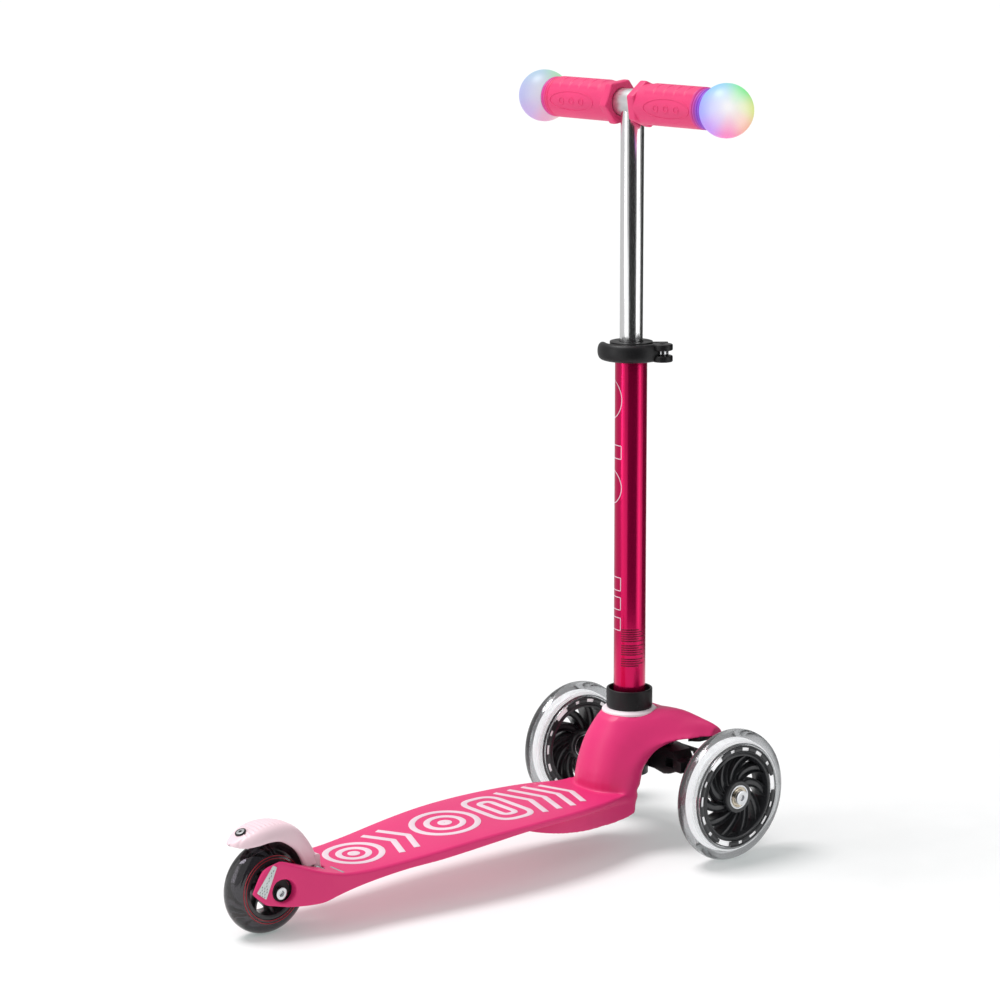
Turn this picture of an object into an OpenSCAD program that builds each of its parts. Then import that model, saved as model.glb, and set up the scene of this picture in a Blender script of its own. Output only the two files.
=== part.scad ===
// Three-wheel lean-to-steer kick scooter for a small child.
// +X is forward, +Z is up, and the origin is on the ground under the middle of the whole scooter.

/* [Wheels] */
// Diameter of each front wheel
front_wheel_d = 120; // [118:1:122]
// Diameter of the rear wheel
rear_wheel_d = 80; // [78:1:82]
// Width of every tyre
tyre_w = 24; // [23:0.5:24]
// Distance between the front and rear axles
wheelbase = 433; // [431:1:435]
// Distance between the middles of the front wheels
track = 212.4; // [210:0.4:216]

/* [Handlebar] */
// Height of the crossbar's axis at the top setting
bar_height = 672; // [650:1:700]
// How far the handlebar slides down
bar_travel = 185; // [100:5:185]
// Outer diameter of the stem tube
stem_d = 29; // [29:0.5:29]
// Outer diameter of the sliding inner post
post_d = 20.8; // [20.8:0.2:20.8]
// Diameter of a hand grip
grip_d = 36; // [34:0.5:36]
// Diameter of a light ball
ball_d = 46.8; // [44:0.2:47]

/* [Steering] */
// Forward lean of the kingpins
kingpin_lean = 30; // [25:1:32]
// Distance from a kingpin to the middle plane
kingpin_y = 62; // [61:0.5:63]
// Length of a steering lever
lever_len = 28; // [27:0.5:29]

/* [Fits] */
// Radial clearance of a running fit
run_gap = 0.05; // [0.02:0.01:0.08]
// Clearance between parts that pass each other
free_gap = 0.3; // [0.3:0.1:0.5]

/* [Hidden] */
$fn = 64;
front_r = front_wheel_d / 2;
rear_r = rear_wheel_d / 2;
front_x = (wheelbase + front_r + rear_r) / 2 - front_r;
rear_x = front_x - wheelbase;
half_track = track / 2;
half_tyre = tyre_w / 2;
stem_x = front_x - 27;
stem_r = stem_d / 2;
post_r = post_d / 2;
stem_wall = 1.5;
stem_bottom = 80;
stem_top = 459.5;
ring_z = 121;
ring_r = 25.3;
collar_z = 124;
collar_top = 142;
sleeve_r = 17.5;
sleeve_bottom = 62;
clamp_z = [444.5, 461];
clamp_mid = (clamp_z[0] + clamp_z[1]) / 2;
clamp_turn = -39;
clamp_pivot = [27, -16];
kingpin_z = 74;
kingpin_r = 3;
boss_r = 9;
boss_low = 11;
lug_t = 5;
wheel_gap = 0.3;
bolt_r = 3.97;
bearing_bore = 4;
bearing_r = 11;
bearing_w = 7;
slot_half = 16.5;
screw_r = 2.2;
screw_seat = 64.5;
screw_end = 108;
post_top = 97;
slot_front = front_x - 383;
hinge = [front_x - 388.5, 50];
hinge_pin_r = 2;
recess_y = 20;
recess_r = 10;
head_t = 4;
fender_in_r = 48;
print_t = 0.6;
stroke_w = 5.6;
crossbar_r = 12.3;
grip_in = 13;
grip_out = 104.5;
ball_y = 120;
cell_r = 7;
big = 400;

// Points through which a smooth curve passes, with n steps between each two
function held(p, i) = p[max(0, min(len(p) - 1, i))];
function spline4(a, b, c, d, t) = 0.5 * (2 * b + (c - a) * t + (2 * a - 5 * b + 4 * c - d) * t * t
    + (3 * b - a - 3 * c + d) * t * t * t);
function smooth(p, n) = concat(
    [for (i = [0:len(p) - 2], k = [0:n - 1])
        spline4(held(p, i - 1), p[i], p[i + 1], held(p, i + 2), k / n)],
    [p[len(p) - 1]]);
function turned(p) = [for (i = [len(p) - 1:-1:0]) p[i]];
function moved(p, dx) = [for (q = p) [q[0] + dx, q[1]]];
function mirrored(p) = [for (q = p) [q[0], -q[1]]];

// Closed solid through a list of closed rings that all have the same number of points
module loft(rings) {
    n = len(rings[0]);
    last = len(rings) - 1;
    sides = [for (i = [0:last - 1], k = [0:n - 1])
        [i * n + k, (i + 1) * n + k, (i + 1) * n + (k + 1) % n, i * n + (k + 1) % n]];
    caps = [[for (k = [0:n - 1]) k], [for (k = [n - 1:-1:0]) last * n + k]];
    polyhedron([for (r = rings) for (p = r) p], concat(sides, caps));
}
// Outline in X and Z, made a solid w wide about the middle plane
module prism_y(outline, w) {
    rotate([90, 0, 0]) linear_extrude(w, center = true) polygon(outline);
}
// Outline in Y and Z, made a solid from x1 to x2
module prism_x(outline, x1, x2) {
    translate([x1, 0, 0]) rotate([90, 0, 90]) linear_extrude(x2 - x1) polygon(outline);
}
module both_sides() {
    children();
    mirror([0, 1, 0]) children();
}
// Cylinder along Y, from y1 to y2
module rod_y(r, y1, y2) {
    translate([0, y2, 0]) rotate([90, 0, 0]) cylinder(r = r, h = y2 - y1);
}
module tube_y(r_out, r_in, y1, y2) {
    translate([0, y2, 0]) rotate([90, 0, 0]) difference() {
        cylinder(r = r_out, h = y2 - y1);
        translate([0, 0, -1]) cylinder(r = r_in, h = y2 - y1 + 2);
    }
}
// Wire rings of a coil about Z, n turns from z1 to z2
module coil(r, wire, n, z1, z2) {
    for (i = [0:n - 1]) translate([0, 0, z1 + wire + i * (z2 - z1 - 2 * wire) / (n - 1)])
        rotate_extrude() translate([r, 0]) circle(wire, $fn = 24);
}
module at_kingpin() {
    translate([front_x, kingpin_y, kingpin_z]) rotate([0, kingpin_lean, 0]) children();
}
module at_clamp() {
    translate([stem_x, 0, 0]) rotate([0, 0, clamp_turn]) children();
}
module at_screws() {
    for (y = [-24, 24]) translate([front_x - 2, y, 0]) children();
}
module at_rear_axle() {
    translate([rear_x, 0, rear_r]) children();
}

// Deck: half its width, and the top and bottom of its side view, forward of the front axle
deck_half = [[-461, 24], [-447, 24], [-437, 24.3], [-426, 28], [-410, 33.5], [-390, 38.8],
    [-360, 40.5], [-320, 44.8], [-280, 49.6], [-240, 53], [-200, 54.5], [-160, 53.4], [-126, 50.3],
    [-97, 44.8], [-72, 38], [-46, 36.5]];
deck_top = [[-451.2, 56.8], [-442.4, 67.9], [-437, 69.3], [-430, 67], [-420, 62.8], [-404, 56.6],
    [-390, 52.3],
    [-375, 49.5], [-350, 49], [-320, 50.6], [-290, 53], [-260, 55.4], [-230, 57.2], [-195, 58],
    [-160, 58], [-115, 57.2], [-80, 55.6], [-46, 55]];
deck_low = [[-447, 32], [-434, 28.6], [-420, 26.7], [-400, 27], [-384, 31.2], [-366, 34.6],
    [-341, 38.4], [-314, 41.4], [-284, 43.2], [-256, 45.7], [-226, 48.4], [-195, 50.5], [-160, 50.8],
    [-110, 50], [-46, 48]];
belly_low = [[-192, 49], [-179, 45], [-160, 40.5], [-138, 36.5], [-116, 33.6], [-94, 31.8],
    [-77, 31.4], [-62, 32.6], [-51, 35]];
belly_half = [[-192, 26], [-176, 40], [-150, 46], [-116, 44], [-85, 38], [-46.5, 35.5]];

module deck_slab() {
    side = concat(smooth(deck_top, 3), turned(smooth(deck_low, 3)), [[-458.7, 42.7]]);
    half = smooth(deck_half, 3);
    intersection() {
        prism_y(moved(side, front_x), 130);
        linear_extrude(90) polygon(moved(concat(half, turned(mirrored(half))), front_x));
    }
}
module belly() {
    half = smooth(belly_half, 4);
    intersection() {
        prism_y(moved(concat(smooth(belly_low, 4), [[-46.5, 49], [-46.5, 53], [-192, 53]]), front_x), 120);
        linear_extrude(90) polygon(moved(concat(half, turned(mirrored(half))), front_x));
    }
}

// Neck and arch: side views of the outer skin at rising distances from the middle plane, each from
// the deck at the rear, up over the crest and down the front
shell_views = [
    [0, [[-79, 51], [-80, 64], [-77, 80], [-71, 97], [-62, 111], [-52, 121.3], [-24, 124.5],
        [2, 122], [14, 113], [19, 97]]],
    [12, [[-78, 51], [-79, 64], [-75, 80], [-69, 97], [-60, 111], [-50, 121], [-22, 124.5],
        [2, 122], [14, 113], [19, 97]]],
    [24, [[-72, 51], [-72, 64], [-68, 80], [-60, 97], [-48, 111], [-36, 120], [-16, 125],
        [3, 123], [15, 114], [20, 97]]],
    [37, [[-57, 51], [-57, 64], [-52, 79], [-43, 92], [-33, 104], [-22, 115], [-7, 124],
        [6, 122.5], [16, 114], [21, 98]]],
    [48, [[-47, 73], [-44, 79], [-37, 87], [-28, 96], [-18, 105], [-11, 112], [-1, 119.4],
        [8, 120.8], [18, 112], [22, 99]]],
    [60, [[-18, 92], [-15, 95.5], [-12, 99.5], [-8, 103.5], [-2, 108], [3, 113.4], [9, 117.2],
        [15, 115.5], [20.5, 110], [23, 100]]],
    [67, [[-6, 94], [-4.5, 97], [-2, 100.3], [1, 103], [4.6, 106], [7.6, 110.6], [11.5, 115],
        [17, 113.2], [21.2, 108.6], [23.4, 100.6]]],
    [72, [[3, 97], [3.8, 99.6], [5.2, 101.8], [7.4, 104], [9.6, 107], [11.4, 110], [14, 112.2],
        [18, 111], [21.4, 107.5], [23.4, 101.5]]]];
function view_ring(v) = [for (q = smooth(v[1], 2)) [front_x + q[0], v[0], q[1]]];
function shell_rings() = smooth([for (v = shell_views) view_ring(v)], 2);

// Open space under the arch, seen from the side and from the front
front_space = [[-46, 20], [-45, 40], [-43.5, 60], [-42, 72], [-37, 81], [-28, 90.5], [-16, 96.5],
    [0, 98.5], [24, 98.5], [60, 98.5], [60, 20]];
flank = [[36.6, 20], [36.6, 50], [37, 68], [38, 80], [40, 90], [44, 96.5], [50, 100.2], [60, 102.3],
    [76, 104.6], [120, 104.6], [120, 20]];
module neck_shell() {
    difference() {
        both_sides() loft(shell_rings());
        prism_y(moved(smooth(front_space, 2), front_x), big);
        both_sides() prism_x(smooth(flank, 2), front_x - 90, front_x + 60);
    }
}
// Slanted plane at the rear end of an arm, where the reflector sits
facet = [-437, 24, 69];
module at_facet() {
    translate([front_x + facet[0], facet[1], facet[2]]) rotate([0, 84, 112.7]) children();
}
// What is taken off a rear arm: outside its facet, and the inner top edge
module arm_relief() {
    at_facet() translate([-50, -50, 0]) cube([100, 100, 30]);
    prism_x([[10, 56], [16, 60.5], [25, 69.5], [25, 100], [10, 100]], front_x - 480, front_x - 412);
}
module deck_frame() {
    pocket_x = [-170, -136, -102];
    pocket = 30;
    color("hotpink") difference() {
        union() {
            deck_slab();
            belly();
            neck_shell();
        }
        translate([stem_x, 0, 0]) {
            translate([0, 0, 20]) cylinder(r = sleeve_r, h = 120);
            translate([0, 0, ring_z]) cylinder(r = ring_r + free_gap, h = 40);
        }
        at_screws() translate([0, 0, screw_seat]) cylinder(r = screw_r, h = screw_end - screw_seat);
        for (px = pocket_x, side = [-1, 1])
            translate([front_x + px + 2, side * 17 - pocket / 2, 20]) cube([pocket, pocket, 27]);
        translate([rear_x - 60, -slot_half, 0]) cube([slot_front - rear_x + 60, 2 * slot_half, 90]);
        at_rear_axle() {
            rod_y(bolt_r, -60, 60);
            both_sides() translate([1.5, 0, 2.2]) rod_y(recess_r, recess_y, 60);
        }
        both_sides() arm_relief();
        translate([hinge[0], 0, hinge[1]]) rod_y(hinge_pin_r, -22, 22);
    }
}

// Raised print on the deck: rings, frames and chevrons in lines stroke_w wide
module stroke_ring(x, r) {
    translate([x, 0]) difference() {
        circle(r);
        circle(r - stroke_w);
    }
}
module soft_box(x1, x2, half, r) {
    translate([x1, r - half]) square([x2 - x1, 2 * (half - r)]);
    translate([x1 + r, -half]) square([x2 - x1 - 2 * r, 2 * half]);
    for (x = [x1 + r, x2 - r], y = [r - half, half - r]) translate([x, y]) circle(r);
}
module stroke_box(x1, x2, half, r) {
    difference() {
        soft_box(x1, x2, half, r);
        soft_box(x1 + stroke_w, x2 - stroke_w, half - stroke_w, r - stroke_w);
    }
}
module chevron(x, w) {
    for (s = [0, 1]) translate([x, 0]) mirror([0, s, 0])
        polygon([[-3, -0.01], [3, -0.01], [-9, w], [-15, w]]);
}
module print_pattern() {
    stroke_ring(-341, 27.2);
    stroke_ring(-341, 15.8);
    translate([-341, 0]) circle(5.5);
    for (x = [-298.5, -282.5]) chevron(x, 29);
    stroke_ring(-242, 31.8);
    stroke_ring(-242, 18.8);
    translate([-242, 0]) circle(6.5);
    stroke_box(-204.3, -161.7, 35.8, 18.8);
    stroke_box(-192.3, -173.7, 22.8, 9.2);
    for (x = [-144.5, -128.5]) chevron(x, 36);
    for (x = [-112.5, -96.5]) chevron(x, 31);
}
module deck_print() {
    top = smooth(deck_top, 3);
    lifted = [for (q = turned(top)) [q[0], q[1] + print_t]];
    color("pink") intersection() {
        prism_y(moved(concat(top, lifted), front_x), 120);
        translate([front_x, 0, 30]) linear_extrude(60) print_pattern();
    }
}
module neck_trim_ring() {
    color("mistyrose") translate([stem_x, 0, 0]) rotate_extrude()
        polygon([[sleeve_r, ring_z], [ring_r, ring_z], [ring_r - 0.5, 122.4], [ring_r - 2.1, 123.6],
            [21, collar_z], [sleeve_r, collar_z]]);
}
module steering_collar() {
    rim = 18.8;
    color("black") translate([stem_x, 0, 0]) rotate_extrude()
        polygon([[stem_r + run_gap, collar_z], [20.4, collar_z], [21, collar_z + 0.6],
            [21, collar_top - 0.8], [20.4, collar_top], [rim, collar_top], [rim, 131],
            [stem_r + run_gap, 131]]);
}

// Black chassis under the arch: the stem's socket, and a beam that carries the kingpins
beam_views = [[0, 66], [18, 66], [30, 64], [40, 66], [46, 69], [54, 69], [54, 79], [47, 80.5],
    [43, 87], [30, 89.5], [0, 91]];
module front_chassis() {
    color("dimgray") difference() {
        union() {
            translate([stem_x, 0, sleeve_bottom]) cylinder(r = sleeve_r, h = collar_z - sleeve_bottom);
            both_sides() prism_x(beam_views, front_x - 12, front_x + 9);
            both_sides() at_kingpin() {
                translate([0, 0, -boss_low]) cylinder(r = boss_r, h = boss_low + 5);
                translate([-6, -14, -7]) cube([12, 14, 11]);
            }
            at_screws() translate([0, 0, 80]) cylinder(r = 6, h = post_top - 80);
        }
        translate([stem_x, 0, stem_bottom]) cylinder(r = stem_r, h = 60);
        translate([stem_x, 0, 66]) cylinder(r = 12, h = 30);
        translate([stem_x, 0, 50]) cylinder(r = 6 + run_gap, h = 30);
        both_sides() at_kingpin() translate([0, 0, -20]) cylinder(r = kingpin_r, h = 40);
        at_screws() cylinder(r = screw_r, h = screw_end);
        for (y = [-38, 38]) translate([front_x - 20, y - 5, 72]) cube([30, 10, 8]);
    }
}
// Dark strip under each arm of the arch, as thick as liner_t
module arch_liner() {
    liner_t = 4;
    under = [for (q = smooth(flank, 2)) if (q[0] >= 49 && q[0] <= 72 && q[1] > 99) q];
    lower = [for (q = turned(under)) [q[0], q[1] - liner_t]];
    color("black") both_sides() prism_x(concat(under, lower), front_x, front_x + 16);
}
module chassis_screws() {
    color("silver") at_screws() {
        translate([0, 0, screw_seat - 3.4]) cylinder(r = 4, h = 3.4);
        translate([0, 0, screw_seat]) cylinder(r = screw_r, h = screw_end - screw_seat);
    }
}
module kingpins() {
    top = boss_low + free_gap + lug_t + free_gap;
    color("silver") both_sides() at_kingpin() {
        translate([0, 0, -top - 2.5]) cylinder(r = 5, h = 2.5);
        translate([0, 0, -top]) cylinder(r = kingpin_r, h = 2 * top);
        translate([0, 0, top]) cylinder(r = 4.6, h = 1.5);
    }
}
module steering_springs() {
    color("silver") both_sides() at_kingpin() coil(5.2, 0.8, 3, 5.2, boss_low);
}
module rear_axle_bolt() {
    color("silver") at_rear_axle() {
        rod_y(bolt_r, -recess_y, recess_y + head_t + 1);
        difference() {
            rod_y(5.2, -recess_y - head_t, -recess_y);
            rotate([90, 0, 0]) translate([0, 0, recess_y + 1.5]) cylinder(r = 2.9, h = head_t, $fn = 6);
        }
    }
}
module rear_axle_nut() {
    color("silver") at_rear_axle() difference() {
        translate([0, recess_y + head_t, 0]) rotate([90, 0, 0]) cylinder(r = 6.9, h = head_t, $fn = 6);
        rod_y(bolt_r, recess_y - 2, recess_y + head_t + 2);
    }
}
module rear_axle_washers() {
    color("gainsboro") at_rear_axle() both_sides()
        tube_y(7, bolt_r, half_tyre + wheel_gap, slot_half);
}
// Reflective stickers on the slanted rear faces of the two arms
module arm_reflectors() {
    color("lightgray") both_sides() at_facet() linear_extrude(0.8)
        polygon([[3, 3.6], [5, 0.6], [31.5, 10.7], [25.4, 18.2]]);
}
module brake_hinge_pin() {
    color("silver") translate([hinge[0], 0, hinge[1]]) rod_y(hinge_pin_r, -22, 22);
}
module brake_spring() {
    color("silver") translate([hinge[0], 0, hinge[1]]) rotate([90, 0, 0]) coil(3.2, 0.6, 4, -3.8, 3.8);
}

module stem_tube() {
    color("mediumvioletred") translate([stem_x, 0, stem_bottom]) difference() {
        cylinder(r = stem_r, h = stem_top - stem_bottom);
        translate([0, 0, -1]) cylinder(r = stem_r - stem_wall, h = stem_top);
    }
}
module stem_plug() {
    color("dimgray") translate([stem_x, 0, stem_bottom]) difference() {
        cylinder(r = stem_r - stem_wall, h = 16);
        translate([0, 0, 3]) cylinder(r = 9, h = 20);
    }
}
module stem_bush() {
    color("white") translate([stem_x, 0, stem_top - 24]) difference() {
        cylinder(r = stem_r - stem_wall, h = 24);
        translate([0, 0, -1]) cylinder(r = post_r + run_gap, h = 30);
    }
}
module clamp_collar() {
    h = clamp_z[1] - clamp_z[0];
    color("black") at_clamp() difference() {
        union() {
            translate([0, 0, clamp_z[0]]) cylinder(r = 19.3, h = h);
            translate([14, -6, clamp_z[0] + 1.5]) cube([19, 12, h - 3]);
        }
        translate([0, 0, clamp_z[0] - 1]) cylinder(r = stem_r, h = stem_top - clamp_z[0] + 1);
        translate([0, 0, clamp_z[0]]) cylinder(r = post_r + 0.6, h = 40);
        translate([10, -0.8, clamp_z[0] - 1]) cube([40, 1.6, h + 2]);
        translate([clamp_pivot[0], 0, clamp_mid]) rod_y(2, -20, 20);
    }
}
module clamp_bolt() {
    color("silver") at_clamp() translate([clamp_pivot[0], 0, clamp_mid]) difference() {
        union() {
            rod_y(2, clamp_pivot[1], 11);
            translate([0, clamp_pivot[1], -2]) cylinder(r = 4.2, h = 4);
        }
        translate([0, clamp_pivot[1], -5]) cylinder(r = 2 + run_gap, h = 10);
    }
}
module clamp_nut() {
    color("silver") at_clamp() translate([clamp_pivot[0], 0, clamp_mid]) difference() {
        translate([0, 10, 0]) rotate([90, 0, 0]) cylinder(r = 4.6, h = 4, $fn = 6);
        rod_y(2, 0, 20);
    }
}
module clamp_lever() {
    arm_r = 25.5;
    arm_half = 4.9;
    tall = clamp_z[1] - clamp_z[0] - 0.5;
    straight = tall / 2 - arm_half;
    fork_gap = 2.25;
    color("black") at_clamp() translate([0, 0, clamp_mid]) {
        difference() {
            union() {
                rotate([0, 0, -180]) rotate_extrude(angle = 140) translate([arm_r, 0]) {
                    for (s = [-1, 1]) translate([0, s * straight]) circle(arm_half);
                    square([2 * arm_half, 2 * straight], center = true);
                }
                translate([-arm_r, 0, 0]) {
                    cylinder(r = arm_half, h = 2 * straight, center = true);
                    for (s = [-1, 1]) translate([0, 0, s * straight]) sphere(arm_half);
                }
                translate([clamp_pivot[0], clamp_pivot[1], 0])
                    cylinder(r = 9.5, h = tall, center = true);
            }
            translate([clamp_pivot[0], clamp_pivot[1], 0]) {
                translate([-5, -5, -fork_gap]) cube([20, 20, 2 * fork_gap]);
                cylinder(r = 5, h = 2 * fork_gap, center = true);
            }
        }
        translate([clamp_pivot[0], clamp_pivot[1], 0]) cylinder(r = 2, h = 10, center = true);
    }
}
module latch_button() {
    color("dimgray") translate([stem_x, 0, 0]) {
        translate([0, 0, 57.5]) cylinder(r = 6, h = 9);
        translate([0, 0, 66]) cylinder(r = 8, h = 2);
    }
}
module latch_spring() {
    color("silver") translate([stem_x, 0, 0]) coil(5.5, 0.8, 4, 68, stem_bottom);
}

module inner_post() {
    bottom = bar_height - 300;
    color("silver") difference() {
        translate([stem_x, 0, bottom]) cylinder(r = post_r, h = bar_height - bottom);
        translate([stem_x, 0, bottom - 1]) cylinder(r = post_r - 1.5, h = 289);
        translate([stem_x, 0, bar_height]) rod_y(crossbar_r, -40, 40);
    }
}
module post_foot() {
    bottom = bar_height - 306;
    color("dimgray") translate([stem_x, 0, bottom]) {
        cylinder(r = stem_r - stem_wall - run_gap, h = 6);
        translate([0, 0, 6]) cylinder(r = post_r - 1.5, h = 10);
    }
}
module crossbar() {
    color("silver") translate([stem_x, 0, bar_height])
        tube_y(crossbar_r, crossbar_r - 1.5, -grip_out + 1.5, grip_out - 1.5);
}
// Grip on the left; turn is how its six-sided flange sits about the crossbar
module grip(turn) {
    flange_t = 9;
    groove_t = 0.8;
    translate([stem_x, 0, bar_height]) difference() {
        union() {
            rod_y(grip_d / 2, grip_in + 4, grip_out);
            translate([0, grip_in + flange_t, 0]) rotate([90, 0, 0]) rotate([0, 0, turn])
                cylinder(r = 20.8, h = flange_t, $fn = 6);
        }
        rod_y(crossbar_r, 0, grip_out - 1.5);
        rod_y(cell_r, 0, grip_out + 1);
        for (y = [96.5, 100]) tube_y(30, grip_d / 2 - groove_t, y, y + 1.7);
    }
}
module grip_left() {
    color("deeppink") grip(8);
}
module grip_right() {
    color("deeppink") mirror([0, 1, 0]) grip(38);
}
module light_ball() {
    r = ball_d / 2;
    translate([stem_x, ball_y, bar_height]) rotate([-90, 0, 0]) rotate_extrude() difference() {
        circle(r);
        circle(r - 1.8);
        translate([-50, -50]) square([50, 100]);
        translate([-50, grip_out - ball_y - 50]) square([100, 50]);
    }
}
module light_ball_left() {
    color("lavender") light_ball();
}
module light_ball_right() {
    color("lavender") mirror([0, 1, 0]) light_ball();
}
module light_board() {
    translate([stem_x, 0, bar_height]) {
        rod_y(14.5, grip_out + 6, grip_out + 7.6);
        for (a = [0:60:300]) rotate([0, a, 0]) translate([9, 0, 0]) {
            rod_y(2.5, grip_out + 7.6, grip_out + 9.4);
            translate([0, grip_out + 9.4, 0]) sphere(1.6, $fn = 24);
        }
    }
}
module light_board_left() {
    color("white") light_board();
}
module light_board_right() {
    color("white") mirror([0, 1, 0]) light_board();
}
module ball_battery() {
    translate([stem_x, 0, bar_height]) {
        rod_y(10, grip_out, grip_out + 6);
        rod_y(cell_r, grip_out - 12, grip_out);
    }
}
module ball_battery_left() {
    color("silver") ball_battery();
}
module ball_battery_right() {
    color("silver") mirror([0, 1, 0]) ball_battery();
}

// Tyre about Y with a round crown; seat_r is the inside radius and groove a light ring's pocket
module tyre(r, seat_r, groove_r) {
    crown = half_tyre - 1.5;
    rotate([90, 0, 0]) rotate_extrude($fn = 96) difference() {
        union() {
            translate([r - crown, 0]) circle(crown);
            translate([seat_r, -crown]) square([r - crown - seat_r, 2 * crown]);
            translate([seat_r, -half_tyre]) square([7, 2 * half_tyre]);
        }
        translate([seat_r - 20, -20]) square([20, 40]);
        translate([seat_r - 1, -5]) square([groove_r - seat_r + 1, 10]);
    }
}
// Hub with curved spokes: rim, boss with two bearing seats, and spokes between
module hub(rim_r, rim_in, spokes, sweep) {
    rotate([90, 0, 0]) difference() {
        union() {
            difference() {
                cylinder(r = rim_r, h = 20, center = true);
                cylinder(r = rim_in, h = 40, center = true);
            }
            cylinder(r = 13.5, h = tyre_w, center = true);
            for (i = [0:spokes - 1]) rotate([0, 0, i * 360 / spokes])
                translate([0, 0, -7]) linear_extrude(14) polygon(spoke_outline(rim_in + 0.5, sweep));
        }
        cylinder(r = 6.1, h = 40, center = true);
        for (s = [0, 1]) mirror([0, 0, s]) translate([0, 0, half_tyre - bearing_w])
            cylinder(r = bearing_r, h = 20);
    }
}
function spoke_side(rim_in, sweep, shift) = [for (t = [0:0.25:1])
    let (r = 12.5 + t * (rim_in - 12.5), a = sweep * t * t + shift / r * 57) [r * cos(a), r * sin(a)]];
function spoke_outline(rim_in, sweep) =
    concat(spoke_side(rim_in, sweep, -1.6), turned(spoke_side(rim_in, sweep, 1.6)));
module bearings() {
    both_sides() tube_y(bearing_r, bearing_bore, half_tyre - bearing_w, half_tyre);
}
module spacer() {
    tube_y(6.1, bearing_bore + 0.1, bearing_w - half_tyre, half_tyre - bearing_w);
}
module rear_tyre() {
    color("slategray") at_rear_axle() tyre(rear_r, 26, 26);
}
module rear_hub() {
    color("black") at_rear_axle() hub(26, 23, 6, 20);
}
module rear_bearings() {
    color("silver") at_rear_axle() bearings();
}
module rear_spacer() {
    color("silver") at_rear_axle() spacer();
}

// Fender: crest and skirt edge in side view, forward of the front axle
fender_top = [[-469.5, 84.3], [-464, 88], [-456.5, 91.7], [-446, 95], [-434, 96.3], [-422, 95.2],
    [-411, 91.3], [-402, 84.5], [-394, 74.5], [-388, 64], [-384, 54]];
fender_low = [[-468.5, 83], [-461, 81.6], [-451, 82.4], [-440, 84], [-430, 83], [-422, 79],
    [-413, 71.5], [-407, 62], [-404, 54]];
fender_half = [[-468.6, 1], [-467.6, 5], [-465, 8], [-460.5, 11.5], [-453, 15], [-443, 17.5],
    [-430, 18], [-410, 17.2], [-398, 15.6], [-383, 14.5]];
fender_crown = [for (y = [-18:3:18]) [58.8 - 6.5 * pow(y / 18, 2), y]];
rivet = [-456.5, 91.7];
rivet_shank = 9.8;
rivet_r = 2;
module at_rivet() {
    translate([front_x + rivet[0], 0, rivet[1]]) rotate([0, -23, 0]) children();
}
module fender_cover() {
    half = smooth(fender_half, 3);
    difference() {
        intersection() {
            prism_y(moved(concat(smooth(fender_top, 4), turned(smooth(fender_low, 4))), front_x), 40);
            linear_extrude(110) polygon(moved(concat(half, turned(mirrored(half))), front_x));
            at_rear_axle() rotate([90, 0, 0]) rotate_extrude()
                polygon(concat([[0, -18]], fender_crown, [[0, 18]]));
        }
        at_rear_axle() rod_y(fender_in_r, -14.5, 14.5);
    }
}
module brake_fender() {
    color("lightpink") difference() {
        union() {
            fender_cover();
            translate([hinge[0], 0, hinge[1]]) {
                rod_y(4.2, -13, 13);
                translate([-3.2, -13, 0]) cube([7, 26, 12]);
            }
        }
        translate([hinge[0], 0, hinge[1]]) {
            rod_y(hinge_pin_r + run_gap, -30, 30);
            rod_y(5, -4.5, 4.5);
        }
        both_sides() translate([front_x - 413, 15.8, 40]) cube([60, 10, 24]);
        at_rivet() cylinder(r = rivet_r, h = 40, center = true);
    }
}
module brake_plate() {
    wedge = [for (a = [92, 121]) [120 * cos(a), 120 * sin(a)]];
    color("silver") difference() {
        at_rear_axle() intersection() {
            tube_y(fender_in_r, fender_in_r - 1.5, -11, 11);
            prism_y(concat([[0, 0]], wedge), 40);
        }
        at_rivet() cylinder(r = rivet_r, h = 40, center = true);
    }
}
module fender_rivet() {
    color("silver") at_rivet() {
        translate([0, 0, -rivet_shank]) cylinder(r = rivet_r, h = rivet_shank + 0.4);
        translate([0, 0, 0.4]) cylinder(r = 3.6, h = 1.1);
    }
}

// Left steering knuckle: two lugs about the kingpin, a wall, the wheel's spindle and a lever
module knuckle() {
    lug = boss_low + free_gap;
    wall = boss_r + 0.8;
    difference() {
        union() {
            at_kingpin() {
                for (s = [0, 1]) mirror([0, 0, s]) translate([0, 0, lug]) {
                    cylinder(r = 8.5, h = lug_t);
                    translate([-8.5, 0, 0]) cube([17, wall + 7, lug_t]);
                }
                translate([-8.5, wall, -lug - lug_t]) cube([17, 7, 2 * (lug + lug_t)]);
                translate([0, -4, lug]) cube([lever_len, 8, lug_t]);
                translate([lever_len, 0, lug]) cylinder(r = 6, h = lug_t);
                translate([lever_len, 0, lug]) cylinder(r = 2.5, h = lug_t + 5);
            }
            translate([front_x, 0, front_r])
                rod_y(9.5, kingpin_y + wall + 1, half_track - half_tyre - wheel_gap);
        }
        at_kingpin() {
            translate([0, 0, -40]) cylinder(r = kingpin_r + run_gap, h = 80);
            translate([0, 0, -lug]) cylinder(r = wall, h = 2 * lug);
        }
        translate([front_x, 0, front_r]) rod_y(bolt_r, kingpin_y + wall + 8, half_track);
    }
}
module knuckle_left() {
    color("black") knuckle();
}
module knuckle_right() {
    color("black") mirror([0, 1, 0]) knuckle();
}
module axle_bolt() {
    face = half_track + half_tyre + wheel_gap;
    translate([front_x, 0, front_r]) {
        rod_y(bolt_r, kingpin_y + boss_r + 8.8, face);
        difference() {
            rod_y(6.5, face, face + 3.5);
            translate([0, face + 4, 0]) rotate([90, 0, 0]) cylinder(r = 2.9, h = 2.5, $fn = 6);
        }
    }
}
module axle_bolt_left() {
    color("silver") axle_bolt();
}
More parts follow.
